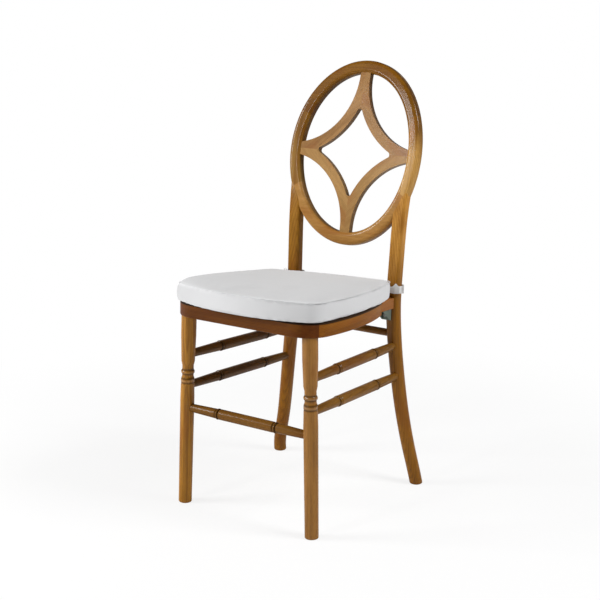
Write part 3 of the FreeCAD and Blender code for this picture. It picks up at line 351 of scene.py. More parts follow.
# The right piece of the ring: lighter, partly for a painted reflection
RING_RIGHT_WITH_REFLECTION = ((0.575, 0.325, 0.095), (0.335, 0.162, 0.032))
RING_BOTTOM = ((0.440, 0.222, 0.056), (0.250, 0.110, 0.018))
RING_TOP = ((0.222, 0.093, 0.006), (0.115, 0.042, 0.002))
STAR = ((0.410, 0.228, 0.074), (0.242, 0.118, 0.027))
STAR_UPPER = ((0.375, 0.196, 0.064), (0.200, 0.090, 0.020))
ORANGE = ((0.300, 0.105, 0.016), (0.180, 0.056, 0.007))
PLAIN = ((0.58, 0.42, 0.25), (0.45, 0.30, 0.16))
# Near black of the painted shadow that the cushion casts on the seat frame
CUSHION_SHADOW_COLOUR = (0.012, 0.007, 0.004)

# Heights between which the upper pair of tones comes in
AT_SEAT = (0.42, 0.58)
AT_LEFT_SHOULDER, AT_RIGHT_SHOULDER = (0.68, 0.83), (0.73, 0.81)

# %% [markdown]
# The directions of the fibres are turns of the Object coordinates. The scales of the patterns
# are per metre across the fibres, and along them each pattern is stretched by its own share.
# The seat frame slopes, so a height over it is measured square to its top face.

# %% Wood
ALONG_X = (0.0, math.radians(-90.0), 0.0)
ALONG_Y = (math.radians(90.0), 0.0, 0.0)
ALONG_Z = (0.0, 0.0, 0.0)
RING_LEAN = math.radians(13.45)

CLOUDS, WANDERING, YEAR_RINGS, BLUSHES = 17.0, 6.0, 330.0, 26.0
STREAKS, FIBRES, PORES = 150.0, 520.0, 1500.0
WANDERING_REACH, GRAIN_HEIGHT = 0.012, 0.00012
DEPTH_OF_DARK = 0.85
LACQUER, FRAME_LACQUER, RING_LACQUER, STRETCHER_LACQUER = 0.30, 0.10, 0.20, 0.12
LACQUER_ROUGHNESS = 0.13
# How much painted shade darkens the side faces of the ring and the star
SIDE_FACE_SHADE = 0.6
LEG_GROOVE, STRETCHER_GROOVE = 0.004, 0.0035
LEG_BEADS, BEAD_HALF, BEAD_POLISH = (0.2936, 0.2740), 0.0046, 2.5

SEAT_SLOPE = math.radians(2.3)
# Heights under the frame's top face over which the cushion's painted shadow comes in
CUSHION_SHADOW_BAND = (-0.0042, -0.0030)
rail_low, rail_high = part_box("front_rail")
TOP_FACE = rail_low[1] * math.sin(SEAT_SLOPE) + rail_high[2] * math.cos(SEAT_SLOPE)


def stained_wood(
    name, along, tones, pith, grooves=(), groove_reach=LEG_GROOVE, beads=(), shine=LACQUER,
    above=None, side_face_shade=0.0, paints_cushion_shadow=False,
):
    """Wood whose fibres run along local z once Object coordinates are turned by along.

    pith is where the middle of the tree lay, across the piece. above, where given, holds the
    pair of tones that the piece takes higher up, and the two heights between which they come
    in. side_face_shade is how much painted shade darkens the faces that look neither forward nor back,
    which goes over to SIDE_FACE_SHADE higher up. The lacquer lies thicker on beads. A piece under the
    cushion takes its painted shadow: the top face and the top few millimetres of the outer faces
    are near black and without lacquer.
    """
    finish = Finish(name)
    point = finish.place(rotation=along)

    def pattern(scale, stretch_along, *rest):
        return finish.noise(finish.stretch(point, (1.0, 1.0, stretch_along)), scale, *rest)

    cloud = pattern(CLOUDS, 0.28, 3.0)
    wander = pattern(WANDERING, 0.5, 1.0)
    fibre = pattern(FIBRES, 0.022, 3.0, 0.6)
    streak = pattern(STREAKS, 0.012, 2.0, 0.55)
    pore = pattern(PORES, 0.045, 1.0).rise(0.62, 0.72)
    blush = pattern(BLUSHES, 0.35, 2.0).rise(0.50, 0.68)
    across, deep, length = point.axes()
    across = across + pith[0] + wander * WANDERING_REACH
    deep = deep + pith[1]
    radius = (across * across + deep * deep) ** 0.5
    year = (radius * YEAR_RINGS + wander * 1.6).fraction()
    late = year.rise(0.35, 0.95) * (1 - year.rise(0.95, 1.0))
    # Each pattern's share in how dark a place is, and then the step from the light to the dark tone
    depth = late * 0.26 + fibre * 0.34 + (streak - 0.5) * 0.80 + (cloud - 0.5) * 1.25 + 0.10
    depth = depth.rise(0.0, DEPTH_OF_DARK)
    light, dark = tones
    colour = finish.mix(depth, light, dark)
    side_shade = side_face_shade
    if above is not None:
        upper_tones, change = above
        level = finish.place().axes()[2] + cloud * 0.1 - 0.05
        higher = level.rise(*change)
        colour = finish.mix(higher, colour, finish.mix(depth, *upper_tones))
        side_shade = higher * (SIDE_FACE_SHADE - side_face_shade) + side_face_shade
    # Redder patches, pores, darker grooves and painted shade on the side faces, each over what is there
    # already
    colour = finish.mix(blush * 0.45, colour, (1.25 * dark[0], 0.95 * dark[1], 0.9 * dark[2]))
    colour = finish.mix(pore * 0.42, colour, times(0.45, dark))
    creases = [length.near(place, groove_reach) for place in grooves]
    if creases:
        colour = finish.mix(reduce(Signal.highest, creases) * 0.75, colour, times(0.25, dark))
    # Painted shade on the faces that look neither forward nor back
    if side_face_shade:
        facing = abs(finish.add("ShaderNodeTexCoord", {}, {}, "Normal").axes()[1])
        colour = finish.mix((1 - facing.rise(0.10, 0.60)) * side_shade, colour, times(0.30, dark))
    # Painted shadow of the cushion: the top face and the top few millimetres of the outer faces go near
    # black, without lacquer
    if paints_cushion_shadow:
        _, y, z = finish.place().axes()
        height = y * math.sin(SEAT_SLOPE) + z * math.cos(SEAT_SLOPE) - TOP_FACE
        cushion_shadow = height.rise(*CUSHION_SHADOW_BAND)
        colour = finish.mix(cushion_shadow * 0.92, colour, CUSHION_SHADOW_COLOUR)
        shine = (1 - cushion_shadow) * shine
    polish = streak * 0.4 + 0.8
    for place in beads:
        polish = polish + length.near(place, BEAD_HALF) * BEAD_POLISH
    relief = fibre * 0.6 - pore * 0.9 - late * 0.25
    return finish.wear(
        Base_Color=colour, Roughness=0.34 + fibre * 0.14 + (cloud - 0.5) * 0.16,
        Normal=finish.bump(relief, GRAIN_HEIGHT, 0.55), Specular_IOR_Level=0.06,
        Coat_Weight=polish * shine, Coat_Roughness=LACQUER_ROUGHNESS,
    )


def dress(names, material):
    """Give CAD nodes a material in every slot."""
    for name in names:
        mesh = nodes[name].data
        if not mesh.materials:
            mesh.materials.append(material)
        for number in range(len(mesh.materials)):
            mesh.materials[number] = material


leg_grooves = [bead + way * BEAD_HALF for bead in LEG_BEADS for way in (-1.0, 1.0)]
for side, tones, pith in (("left", LEG_LEFT, (0.09, 0.31)), ("right", LEG_RIGHT, (-0.30, 0.13))):
    wood = stained_wood("wood_front_leg_" + side, ALONG_Z, tones, pith, leg_grooves, beads=LEG_BEADS)
    dress(["front_leg_" + side], wood)
# Below the seat the back legs take darker tones, partly for painted shade under the seat
for side, tones, pith in (("left", POST_LEFT, (0.21, -0.33)), ("right", POST_RIGHT, (-0.22, -0.30))):
    wood = stained_wood("wood_back_leg_" + side, ALONG_Z, BACK_LEG_SHADED, pith, above=(tones, AT_SEAT))
    dress(["back_leg_" + side], wood)
print("front and back legs are dressed")

# %% [markdown]
# The stretchers are turned too. Their fibres run along their length, from front to back or from
# side to side. All but the plain back one have two beads, each with a darker groove on both
# sides. The left ones have darker tones for painted shade under the seat.

# %% Stretchers
SIDE_BEADS = (0.28, 0.735)
FRONT_BEADS = (0.26, 0.74)
STRETCHER_BEAD_HALF = 0.0032


def stretcher_grooves(node, axis, shares):
    """Places of the grooves beside the beads of a stretcher, along an axis of its own box."""
    low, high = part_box(node)
    beads = [low[axis] + (high[axis] - low[axis]) * share for share in shares]
    return [bead + way * STRETCHER_BEAD_HALF for bead in beads for way in (-1.0, 1.0)]


# The left stretchers have darker tones for painted shade under the seat
for side, tones, pith_across in (("left", TURNED_LEFT_SHADED, 0.12), ("right", TURNED_RIGHT, 0.17)):
    for level, pith_deep in (("upper", 0.08), ("lower", -0.11)):
        name = "side_stretcher_%s_%s" % (level, side)
        grooves = stretcher_grooves(name, 1, SIDE_BEADS)
        pith = (pith_across, pith_deep)
        dress([name], stained_wood("wood_" + name, ALONG_Y, tones, pith, grooves, STRETCHER_GROOVE))
wood = stained_wood(
    "wood_front_stretcher", ALONG_X, TURNED_FRONT, (0.07, 0.12),
    stretcher_grooves("front_stretcher", 0, FRONT_BEADS), STRETCHER_GROOVE, shine=STRETCHER_LACQUER,
)
dress(["front_stretcher"], wood)
dress(["back_stretcher"], stained_wood("wood_back_stretcher", ALONG_X, TURNED_RIGHT, (-0.08, 0.10)))

# %% [markdown]
# The seat frame is sawn from boards, and the cushion's painted shadow lies along its top. The
# short blocks over the front legs have darker tones, and the blocks that join the frame to the
# posts redder ones. The board under the cushion is plain plywood, seen only from below.

# %% Seat frame
for name, along, tones, pith in (
    ("front_rail", ALONG_X, FRONT_RAIL, (0.10, 0.22)),
    ("rear_rail", ALONG_X, SIDE_RAIL, (0.14, 0.09)),
    ("side_rail_left", ALONG_Y, SIDE_RAIL, (0.33, 0.10)),
    ("side_rail_right", ALONG_Y, SIDE_RAIL, (-0.31, 0.12)),
    ("front_corner_left", ALONG_X, CORNER, (0.06, 0.15)),
    ("front_corner_right", ALONG_X, CORNER, (-0.05, 0.16)),
):
    wood = stained_wood("wood_" + name, along, tones, pith, shine=FRAME_LACQUER, paints_cushion_shadow=True)
    dress([name], wood)
for side, pith in (("left", (0.2, 0.1)), ("right", (-0.2, 0.11))):
    dress(["rear_block_" + side], stained_wood("wood_rear_block_" + side, ALONG_Y, ORANGE, pith))
dress(["seat_board"], stained_wood("wood_seat_board", ALONG_X, PLAIN, (0.4, 0.9), shine=0.0))
raw_wood = stained_wood("wood_dowels", ALONG_X, PLAIN, (0.1, 0.1), shine=0.0)
dress(["ring_dowels", "post_dowels", "frame_dowels"], raw_wood)

# %% [markdown]
# The ring is four curved pieces cut from straight boards, so each has straight fibres along its
# own chord: level in the top and bottom pieces, upright in the side ones. The four strips of the
# star are cut on the slant. That change of direction at each joint is what tells a sawn ring
# from a bent one. The top is the darkest, and both sides take over its tones where they meet it.
# The right piece is lighter, partly for a painted reflection, and carries less painted shade on its side
# faces.

# %% Ring and star
RING_UPRIGHT = (RING_LEAN, 0.0, 0.0)
# Less painted shade on the right piece, whose outer side face is lit
LESS_SIDE_FACE_SHADE = 0.15
STAR_SLANT = math.radians(46.0)


def along_slant(angle):
    """Turn that puts the fibres at an angle from upright, in the plane of the ring."""
    lean = Matrix.Rotation(RING_LEAN, 3, "X")
    slant = Matrix.Rotation(angle, 3, "Y")
    return tuple((slant @ lean).to_euler())


for place, along, tones, pith, side_face_shade, above in (
    ("top", ALONG_X, RING_TOP, (0.30, 0.11), SIDE_FACE_SHADE, None),
    ("bottom", ALONG_X, RING_BOTTOM, (-0.25, 0.12), SIDE_FACE_SHADE, None),
    ("left", RING_UPRIGHT, RING_LEFT, (0.06, 0.32), SIDE_FACE_SHADE, (RING_TOP, AT_LEFT_SHOULDER)),
    ("right", RING_UPRIGHT, RING_RIGHT_WITH_REFLECTION, (-0.07, 0.28), LESS_SIDE_FACE_SHADE, (RING_TOP, AT_RIGHT_SHOULDER)),
):
    wood = stained_wood(
        "wood_ring_" + place, along, tones, pith, shine=RING_LACQUER, above=above, side_face_shade=side_face_shade,
    )
    dress(["ring_" + place], wood)
for level, tones, up in (("upper", STAR_UPPER, 1), ("lower", STAR, -1)):
    for side, out in (("left", -1), ("right", 1)):
        name = "star_strip_%s_%s" % (level, side)
        along = along_slant(STAR_SLANT * up * out)
        pith = (0.05 * out, 0.2 + 0.04 * up)
        dress([name], stained_wood("wood_" + name, along, tones, pith, side_face_shade=SIDE_FACE_SHADE))

# %% [markdown]
# ## Steel
#
# Two small brackets stand behind the frame, in the angle between block and post. They are sheet
# steel with a thin grey green paint that is cloudy and worn in spots, and screws hold them.

# %% Steel
STEEL_CLOUDS, SCRATCHES = 60.0, 900.0
PAINT_HEIGHT = 0.0001
BARE_STEEL = (0.42, 0.42, 0.40)
GREY_GREEN, ZINC = (0.17, 0.21, 0.17), (0.36, 0.36, 0.34)


def sheet_steel(name, colour, roughness):
    """Thin paint over steel, cloudy and scratched."""
    finish = Finish(name)
    point = finish.place()
    cloud = finish.noise(point, STEEL_CLOUDS, 4.0)
    scratch = finish.noise(finish.stretch(point, (1.0, 1.0, 0.08)), SCRATCHES, 2.0)
    worn = (cloud * 0.6 + scratch * 0.4).rise(0.56, 0.68)
    paint = finish.mix(cloud, colour, times(0.55, colour))
    return finish.wear(
        Base_Color=finish.mix(worn * 0.6, paint, BARE_STEEL),
        Metallic=0.35 + worn * 0.6,
        Roughness=roughness + cloud * 0.2 - worn * 0.1,
        Normal=finish.bump(scratch * 0.5 + cloud, PAINT_HEIGHT, 0.4),
    )


painted_steel = sheet_steel("steel_bracket", GREY_GREEN, 0.38)
dress(["corner_bracket_left", "corner_bracket_right"], painted_steel)
dress(["bracket_screws", "board_screws"], sheet_steel("steel_screws", ZINC, 0.3))

# %% [markdown]
# ## The cushion
#
# The cushion is a slab of foam in a sewn cover: a top panel, a boxing strip round the side and a
# bottom panel, joined by two seams. Its outline is not a formula but a chain of arcs, each
# touching the next: a deep bow at the front, a tight front corner, a slack side, a tight rear
# corner and a shallow bow at the rear. Only the right half is worked out, and the left half
# mirrors it. The normals come with the arcs, so a seam or a piping can be set in or out by a
# plain distance.

# %% Outline of the cushion
FRAME_DEPTH = 0.321
CUSHION_REACH = 0.1905
CUSHION_WIDEST = 0.122
FRONT_OVERHANG, REAR_OVERHANG = 0.0275, 0.016
SIDE_BOW, FRONT_BOW, REAR_BOW = 0.700, 0.400, 1.500
FRONT_CORNER, REAR_CORNER = 0.042, 0.032
CUSHION_MIDDLE = (FRAME_DEPTH + REAR_OVERHANG - FRONT_OVERHANG) / 2


def on_seat(across, back, up):
    """Points of the chair from places on top of the sloping seat frame, as an (n, 3) array."""
    y = rail_low[1] + back * math.cos(SEAT_SLOPE) + up * math.sin(SEAT_SLOPE)
    z = rail_high[2] - back * math.sin(SEAT_SLOPE) + up * math.cos(SEAT_SLOPE)
    return np.stack([across, y, z], axis=-1)


def circles_meet(first, first_radius, second, second_radius):
    """The right hand point at the given distances from two points."""
    gap = second - first
    distance = math.hypot(*gap)
    along = (distance ** 2 + first_radius ** 2 - second_radius ** 2) / (2 * distance)
    axis = gap / distance
    across = np.array([-axis[1], axis[0]]) * math.sqrt(first_radius ** 2 - along ** 2)
    return max(first + axis * along + across, first + axis * along - across, key=lambda spot: spot[0])


def cushion_outline(count):
    """Places and outward normals round the cushion, evenly spaced from the front middle.

    Each arc turns the normal from one angle to the next about its own centre:
    P = centre + radius (cos turn, sin turn), with turn growing by length / radius.
    """
    side = np.array([CUSHION_REACH - SIDE_BOW, CUSHION_WIDEST])
    front = np.array([0.0, FRONT_BOW - FRONT_OVERHANG])
    rear = np.array([0.0, FRAME_DEPTH + REAR_OVERHANG - REAR_BOW])
    front_corner = circles_meet(front, FRONT_BOW - FRONT_CORNER, side, SIDE_BOW - FRONT_CORNER)
    rear_corner = circles_meet(rear, REAR_BOW - REAR_CORNER, side, SIDE_BOW - REAR_CORNER)
    centres = np.array([front, front_corner, side, rear_corner, rear])
    radii = np.array([FRONT_BOW, FRONT_CORNER, SIDE_BOW, REAR_CORNER, REAR_BOW])
    ways = np.diff(centres, axis=0) * np.where(np.diff(radii) < 0, 1.0, -1.0)[:, None]
    turns = np.concatenate([[-np.pi / 2], np.arctan2(ways[:, 1], ways[:, 0]), [np.pi / 2]])
    starts = np.concatenate([[0.0], np.cumsum(radii * np.diff(turns))])
    length = np.linspace(0.0, starts[-1], count // 2 + 1)
    arc = np.clip(np.searchsorted(starts, length, side="right") - 1, 0, len(radii) - 1)
    turn = turns[arc] + (length - starts[arc]) / radii[arc]
    normals = np.stack([np.cos(turn), np.sin(turn)], axis=1)
    places = centres[arc] + normals * radii[arc][:, None]
    mirror = np.array([-1.0, 1.0])
    places = np.concatenate([places, places[-2:0:-1] * mirror])
    normals = np.concatenate([normals, normals[-2:0:-1] * mirror])
    return places, normals


# %% [markdown]
# A surface is a grid of points, one row for each step along its first parameter. Each row here
# is a closed loop of points, and the last row is either joined to the first, as in a ring, or
# the rows end in a face across the loop at each end.

# %% Grids
def tube_faces(rows, columns, is_ring=False):
    """Corner numbers of the faces over a grid whose rows are closed loops."""
    row = np.arange(rows if is_ring else rows - 1)[:, None]
    column = np.arange(columns)[None, :]
    below = row * columns
    above = (row + 1) % rows * columns
    after = (column + 1) % columns
    quads = np.stack([below + column, below + after, above + after, above + column], axis=-1)
    faces = quads.reshape(-1, 4).tolist()
    if not is_ring:
        first = list(range(columns))
        faces += [first[::-1], [(rows - 1) * columns + number for number in first]]
    return faces


def add_piece(name, mesh, material, replaced=()):
    """Put a mesh in the scene as a piece of the chair."""
    piece = bpy.data.objects.new(name, mesh)
    bpy.context.scene.collection.objects.link(piece)
    mesh.materials.append(material)
    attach(piece, "root")
    if replaced:
        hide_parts(*replaced)
    return piece


def points_of(mesh):
    """A mesh's points as an array."""
    flat = np.empty(len(mesh.vertices) * 3)
    mesh.vertices.foreach_get("co", flat)
    return flat.reshape(-1, 3)


# %% [markdown]
# The slack cover is drawn first, as rings round one profile: out along the bottom panel, up the
# boxing, which is drawn in at both seams, and in again over the crown of the top panel. The
# cushion has been sat on, so it isn't even. The boxing is pressed lower towards the rear and at
# the left, and the top panel rises more steeply over the drawn in seam at the front left.

# %% Slack cover
ABOVE_FRAME = 0.0003
BOXING = 0.0367
RIM_RISE = 0.0012
RIM_FROM = 0.86
DRAWN_IN, DRAWN_IN_ABOVE, DRAWN_IN_AT_LEFT = 0.0015, 0.0005, 0.0060
CROWN, CROWN_AT_LEFT = 0.0035, 0.0170
CROWN_POWER = 13.0

# Shares of the boxing's height that come and go from place to place
FULLER_IN_FRONT, FULLER_AT_RIGHT = 0.24, 0.18
LOWER_AT_LEFT, LESS_BEHIND = 0.12, 0.25


def leftness(across):
    """0 at the middle and at the right, and 1 at the left end."""
    return np.clip(-across / CUSHION_REACH, 0.0, 1.0)


def at_front_left(across, back):
    """1 at the front left corner, less along the left side, and 0 from the middle rightwards."""
    return leftness(across) ** 2 * (1 - LESS_BEHIND * back / FRAME_DEPTH)


def fullness(across, back):
    """Share of the boxing's height at a place: most in front, and least at the rear left."""
    depth = back / FRAME_DEPTH
    fuller = FULLER_IN_FRONT * (0.5 - depth) + FULLER_AT_RIGHT * depth * across / CUSHION_REACH
    return 1 + fuller - LOWER_AT_LEFT * at_front_left(across, back)


def drawn_in_above(across):
    """How far the upper seam lies inside the outline, which is most at the left."""
    return DRAWN_IN_ABOVE + DRAWN_IN_AT_LEFT * leftness(across) ** 3


def slack_cover(around, steps):
    """P(t, q) = middle + share(q) (outline(t) - draw(t, q) normal(t) - middle).

    Its height over the seat is up(q) and the crown, times the fullness at that place.
    """
    places, normals = cushion_outline(around)
    middle = np.array([0.0, CUSHION_MIDDLE])
    inward = np.linspace(0.03, 1.0, steps)
    rise = np.linspace(0.0, 1.0, steps // 2)[1:-1]
    crown = np.concatenate([np.zeros(steps + len(rise)), 1 - inward[::-1] ** CROWN_POWER])
    share = np.concatenate([inward, np.ones(len(rise)), inward[::-1]])
    hollow = (2 * rise - 1) ** 2
    low_share = np.concatenate([np.ones(steps), hollow * (rise < 0.5), np.zeros(steps)])
    high_share = np.concatenate([np.zeros(steps), hollow * (rise >= 0.5), np.ones(steps)])
    draw = low_share[:, None] * DRAWN_IN + high_share[:, None] * drawn_in_above(places[:, 0])
    under = RIM_RISE * np.clip((inward - RIM_FROM) / (1 - RIM_FROM), 0.0, 1.0) ** 2
    up = np.concatenate([under, RIM_RISE + (BOXING - RIM_RISE) * rise, np.full(steps, BOXING)])
    flat = places[None] - normals[None] * draw[..., None]
    flat = middle + (flat - middle) * share[:, None, None]
    across, back = flat[..., 0], flat[..., 1]
    up = up[:, None] + crown[:, None] * (CROWN + CROWN_AT_LEFT * at_front_left(across, back))
    points = on_seat(across, back, up * fullness(across, back) + ABOVE_FRAME)
    return mesh_from("slack_cover", points, tube_faces(len(share), around))


def seat_places(points):
    """The places on the seat frame that points of the chair have: across, back and up."""
    y = points[:, 1] - rail_low[1]
    z = points[:, 2] - rail_high[2]
    back = y * math.cos(SEAT_SLOPE) - z * math.sin(SEAT_SLOPE)
    up = y * math.sin(SEAT_SLOPE) + z * math.cos(SEAT_SLOPE)
    return points[:, 0], back, up


# %% [markdown]
# Then the foam fills the cover. The slack mesh is remeshed into small even cells and blown up by
# Blender's cloth solver: the seams and the part that lies on the board are pinned, so the panels
# swell between them as sewn fabric does. A limit on the swelling keeps the cushion in its size.

# %% Filled cover
VOXEL = 0.005
HELD_REACH, GRIP = 0.0048, 2.2
PIN_WEIGHTS = (0.25, 0.5, 0.75, 1.0)
SWELL_LIMIT = 0.007
PRESSURE = 4.0
CLOTH_MASS, CLOTH_BENDING = 0.25, 0.6
CLOTH_QUALITY = 6
LAST_FRAME = 20
OUTLINE_STEPS = 720
outline_places, outline_normals = cushion_outline(OUTLINE_STEPS)


def evaluated(piece):
    """The mesh that a piece has with its modifiers."""
    graph = bpy.context.evaluated_depsgraph_get()
    return bpy.data.meshes.new_from_object(piece.evaluated_get(graph), depsgraph=graph)


def outline_distance(across, back, at_once=4000):
    """Distance outside the nearest point of the outline, and its number, for many places."""
    gaps = np.empty(len(across))
    nearest = np.empty(len(across), dtype=int)
    for start in range(0, len(across), at_once):
        part = slice(start, start + at_once)
        dx = across[part, None] - outline_places[None, :, 0]
        dy = back[part, None] - outline_places[None, :, 1]
        best = np.argmin(dx ** 2 + dy ** 2, axis=1)
        rows = np.arange(len(best))
        normals = outline_normals[best]
        nearest[part] = best
        gaps[part] = dx[rows, best] * normals[:, 0] + dy[rows, best] * normals[:, 1]
    return gaps, nearest


def from_seams(points):
    """Where points of the cover lie against its seams.

    Gives how far they lie outside the seam's line, their height over or under the nearer seam,
    their height over the seat, as on an evenly full cushion, and the number of the nearest
    outline point.
    """
    across, back, up = seat_places(points)
    up /= fullness(across, back)
    outside, nearest = outline_distance(across, back)
    inset = np.where(up > BOXING / 2, drawn_in_above(outline_places[nearest, 0]), DRAWN_IN)
    gap = np.minimum(np.abs(up - BOXING), np.abs(up - RIM_RISE))
    return outside + inset, gap, up, nearest


def filled_cover():
    """The cover blown up by its filling, with the seams held."""
    shell = bpy.data.objects.new("cover_shell", slack_cover(around=360, steps=26))
    bpy.context.scene.collection.objects.link(shell)
    remesh = shell.modifiers.new("cells", "REMESH")
    remesh.mode = "VOXEL"
    remesh.voxel_size = VOXEL
    cells = evaluated(shell)
    shell.modifiers.clear()
    shell.data = cells
    slack = points_of(cells)
    outside, gap, up, _ = from_seams(slack)
    at_rim = np.clip(1 - np.abs(outside) / HELD_REACH, 0.0, 1.0)
    at_seam = np.clip(1 - gap / HELD_REACH, 0.0, 1.0)
    held = np.maximum(np.clip(GRIP * at_rim * at_seam, 0.0, 1.0), (up < RIM_RISE) * 1.0)
    pins = shell.vertex_groups.new(name="held")
    for weight in PIN_WEIGHTS:
        chosen = np.flatnonzero(np.abs(held - weight) <= PIN_WEIGHTS[0] / 2)
        pins.add(chosen.tolist(), weight, "REPLACE")
    cloth = shell.modifiers.new("filling", "CLOTH")
    settings = cloth.settings
    settings.use_pressure = True
    settings.uniform_pressure_force = PRESSURE
    settings.vertex_group_mass = "held"
    settings.effector_weights.gravity = 0.0
    settings.quality = CLOTH_QUALITY
    settings.mass = CLOTH_MASS
    settings.bending_stiffness = CLOTH_BENDING
    scene = bpy.context.scene
    for frame_number in range(1, LAST_FRAME + 1):
        scene.frame_set(frame_number)
    move = points_of(evaluated(shell)) - slack
    shell.modifiers.clear()
    scene.frame_set(1)
    size = np.linalg.norm(move, axis=1, keepdims=True)
    move *= SWELL_LIMIT * np.tanh(size / SWELL_LIMIT) / np.maximum(size, 1e-9)
    print("cover swells by %.2f mm, at most %.2f mm" % (1000 * size.mean(), 1000 * size.max()))
    cells.vertices.foreach_set("co", (slack + move).ravel())
    finer = shell.modifiers.new("finer", "SUBSURF")
    finer.levels = 1
    finished = evaluated(shell)
    smooth(finished)
    bpy.data.objects.remove(shell)
    return finished


# %% [markdown]
# The cover is a plain weave of off white polyester. The threads show as two fine waves across
# each other, on the side as well as on the top, so each point keeps how far round the cushion it
# lies. Close to the seams the fabric puckers. It is a little greyer in patches. The boxing carries
# painted light: it is lighter than the top over most of its length and darker at the left end,
# and the seams are painted lighter against the shade in their creases.

# %% Fabric
WEAVE, SLUBS, SOIL, FOLDS, GATHERS = 3000.0, 240.0, 9.0, 55.0, 130.0
WEAVE_HEIGHT = 0.0012
# Painted light and shade on the cover: shares of its colour on the boxing at the left end, on the rest
# of the boxing and in the seams, and where across the boxing the darker share goes over to the lighter
BOXING_SHADED, BOXING_LIT, SEAM_LIGHT = 0.92, 1.14, 1.22
BOXING_SHADED_UNTIL, BOXING_LIT_FROM = -0.20, 0.02


def woven(name, colour, sewn=True):
    """Plain weave fabric.

    A sewn piece has three numbers at each point: around is how far round the cushion it lies,
    on_side is 1 on the boxing, and pucker is 1 at a seam.
    """
    finish = Finish(name)
    point = finish.place()
    x, y, z = point.axes()
    if sewn:
        around, on_side, pucker = [
            finish.add("ShaderNodeAttribute", {"attribute_name": layer}, {}, "Fac")
            for layer in ("around", "on_side", "pucker")
        ]
        warp = x * (1 - on_side) + around * on_side
        weft = y * (1 - on_side) + z * on_side
    else:
        warp, weft = x + y, z
    cloud = finish.noise(point, SOIL, 4.0)
    slub = finish.noise(finish.stretch(point, (1.0, 0.2, 1.0)), SLUBS, 3.0)
    threads = (warp * WEAVE).sine() * (weft * WEAVE).sine()
    height = threads * 0.05 + slub * 0.12 + cloud * 0.6
    shade = finish.mix(cloud.rise(0.48, 0.75) * 0.5 + slub * 0.18, colour, times(0.86, colour))
    if sewn:
        along_seam = finish.add("ShaderNodeCombineXYZ", {}, {"X": around, "Y": z * 0.15})
        gather = finish.noise(along_seam, GATHERS, 2.0)
        fold = finish.noise(finish.stretch(point, (1.0, 1.0, 0.35)), FOLDS, 3.0)
        height = height + pucker * gather * 1.6 + fold * 0.5
        # Painted light and shade: the boxing is lighter than the top, except at the left end, where it
        # is darker
        boxing_lit_share = x.rise(BOXING_SHADED_UNTIL, BOXING_LIT_FROM)
        boxing = finish.mix(boxing_lit_share, times(BOXING_SHADED, colour), times(BOXING_LIT, colour))
        shade = finish.mix(on_side, shade, boxing)
        # Painted light: the seams are lighter, against the shade in their creases
        shade = finish.mix(pucker ** 2 * 0.8, shade, times(SEAM_LIGHT, colour))
    return finish.wear(
        Base_Color=shade, Roughness=0.86 + slub * 0.1, Specular_IOR_Level=0.15,
        Normal=finish.bump(height, WEAVE_HEIGHT, 0.7), Sheen_Weight=0.25,
    )


COVER_WHITE, BAND_WHITE = (0.560, 0.561, 0.567), (0.68, 0.67, 0.66)
cover_cloth = woven("fabric_cover", COVER_WHITE)

# %% Cushion and piping
SIDE_EDGE, PUCKER_INWARD, PUCKER_REACH = 0.002, 0.02, 0.008
PIPING_RADIUS, PIPING_RISE = 0.0008, 0.0003


def mark(mesh, **layers):
    """Give the points of a mesh named numbers, one for all or one for each."""
    for name, values in layers.items():
        layer = mesh.attributes.new(name, "FLOAT", "POINT")
        layer.data.foreach_set("value", np.full(len(mesh.vertices), values, np.float32))


def piping(name, up, radius, count=480, sides=12):
    """A thin tube along a seam: a circle of directions round each point of the seam's path."""
    places, normals = cushion_outline(count)
    places = places - normals * (drawn_in_above(places[:, 0]) + radius * 0.10)[:, None]
    turn = np.arange(sides) * 2 * np.pi / sides
    out = places[:, None] + normals[:, None] * (radius * np.cos(turn))[None, :, None]
    level = up * fullness(places[:, 0], places[:, 1])
    points = on_seat(out[..., 0], out[..., 1], level[:, None] + radius * np.sin(turn)[None])
    mesh = mesh_from(name, points, tube_faces(count, sides, is_ring=True))
    # pucker is 1 all along the piping, so the whole piping takes the painted light of the seams
    mark(mesh, around=0.0, on_side=0.0, pucker=1.0)
    add_piece(name, mesh, cover_cloth)


cushion_mesh = filled_cover()
perimeter = np.concatenate([[0.0], np.cumsum(np.hypot(*np.diff(outline_places, axis=0).T))])
outside, gap, _, nearest = from_seams(points_of(cushion_mesh))
near_rim = np.clip(1 + outside / PUCKER_INWARD, 0.0, 1.0)
mark(
    cushion_mesh,
    around=perimeter[nearest],
    on_side=np.clip((outside + SIDE_EDGE) / SIDE_EDGE, 0.0, 1.0),
    pucker=near_rim * np.clip(1 - gap / PUCKER_REACH, 0.0, 1.0),
)
cushion = add_piece("seat_cushion_cover", cushion_mesh, cover_cloth, ["seat_cushion"])
piping("piping_upper", BOXING + PIPING_RISE, PIPING_RADIUS)
print("cushion cells:", len(cushion_mesh.polygons), "seam: %.0f mm long" % (1000 * perimeter[-1]))

# %% [markdown]
# ## Bands
#
# A flat band leaves each rear corner of the cushion, runs once round the post, crosses itself
# and ends in a free tab on the outside. Its line seen from above is a smooth curve through
# little more than one turn of a rounded square, which grows, so that the band lies over itself
# where it crosses.
# Near the outer corner the band is doubled and its upper edge stands up in a small peak.

# %% Bands
BAND_WIDTH = 0.0135
BAND_THICKNESS = 0.0014
BAND_LIFT = 0.0008
POST_SQUARENESS, EDGE_SQUARENESS = 0.42, 0.35

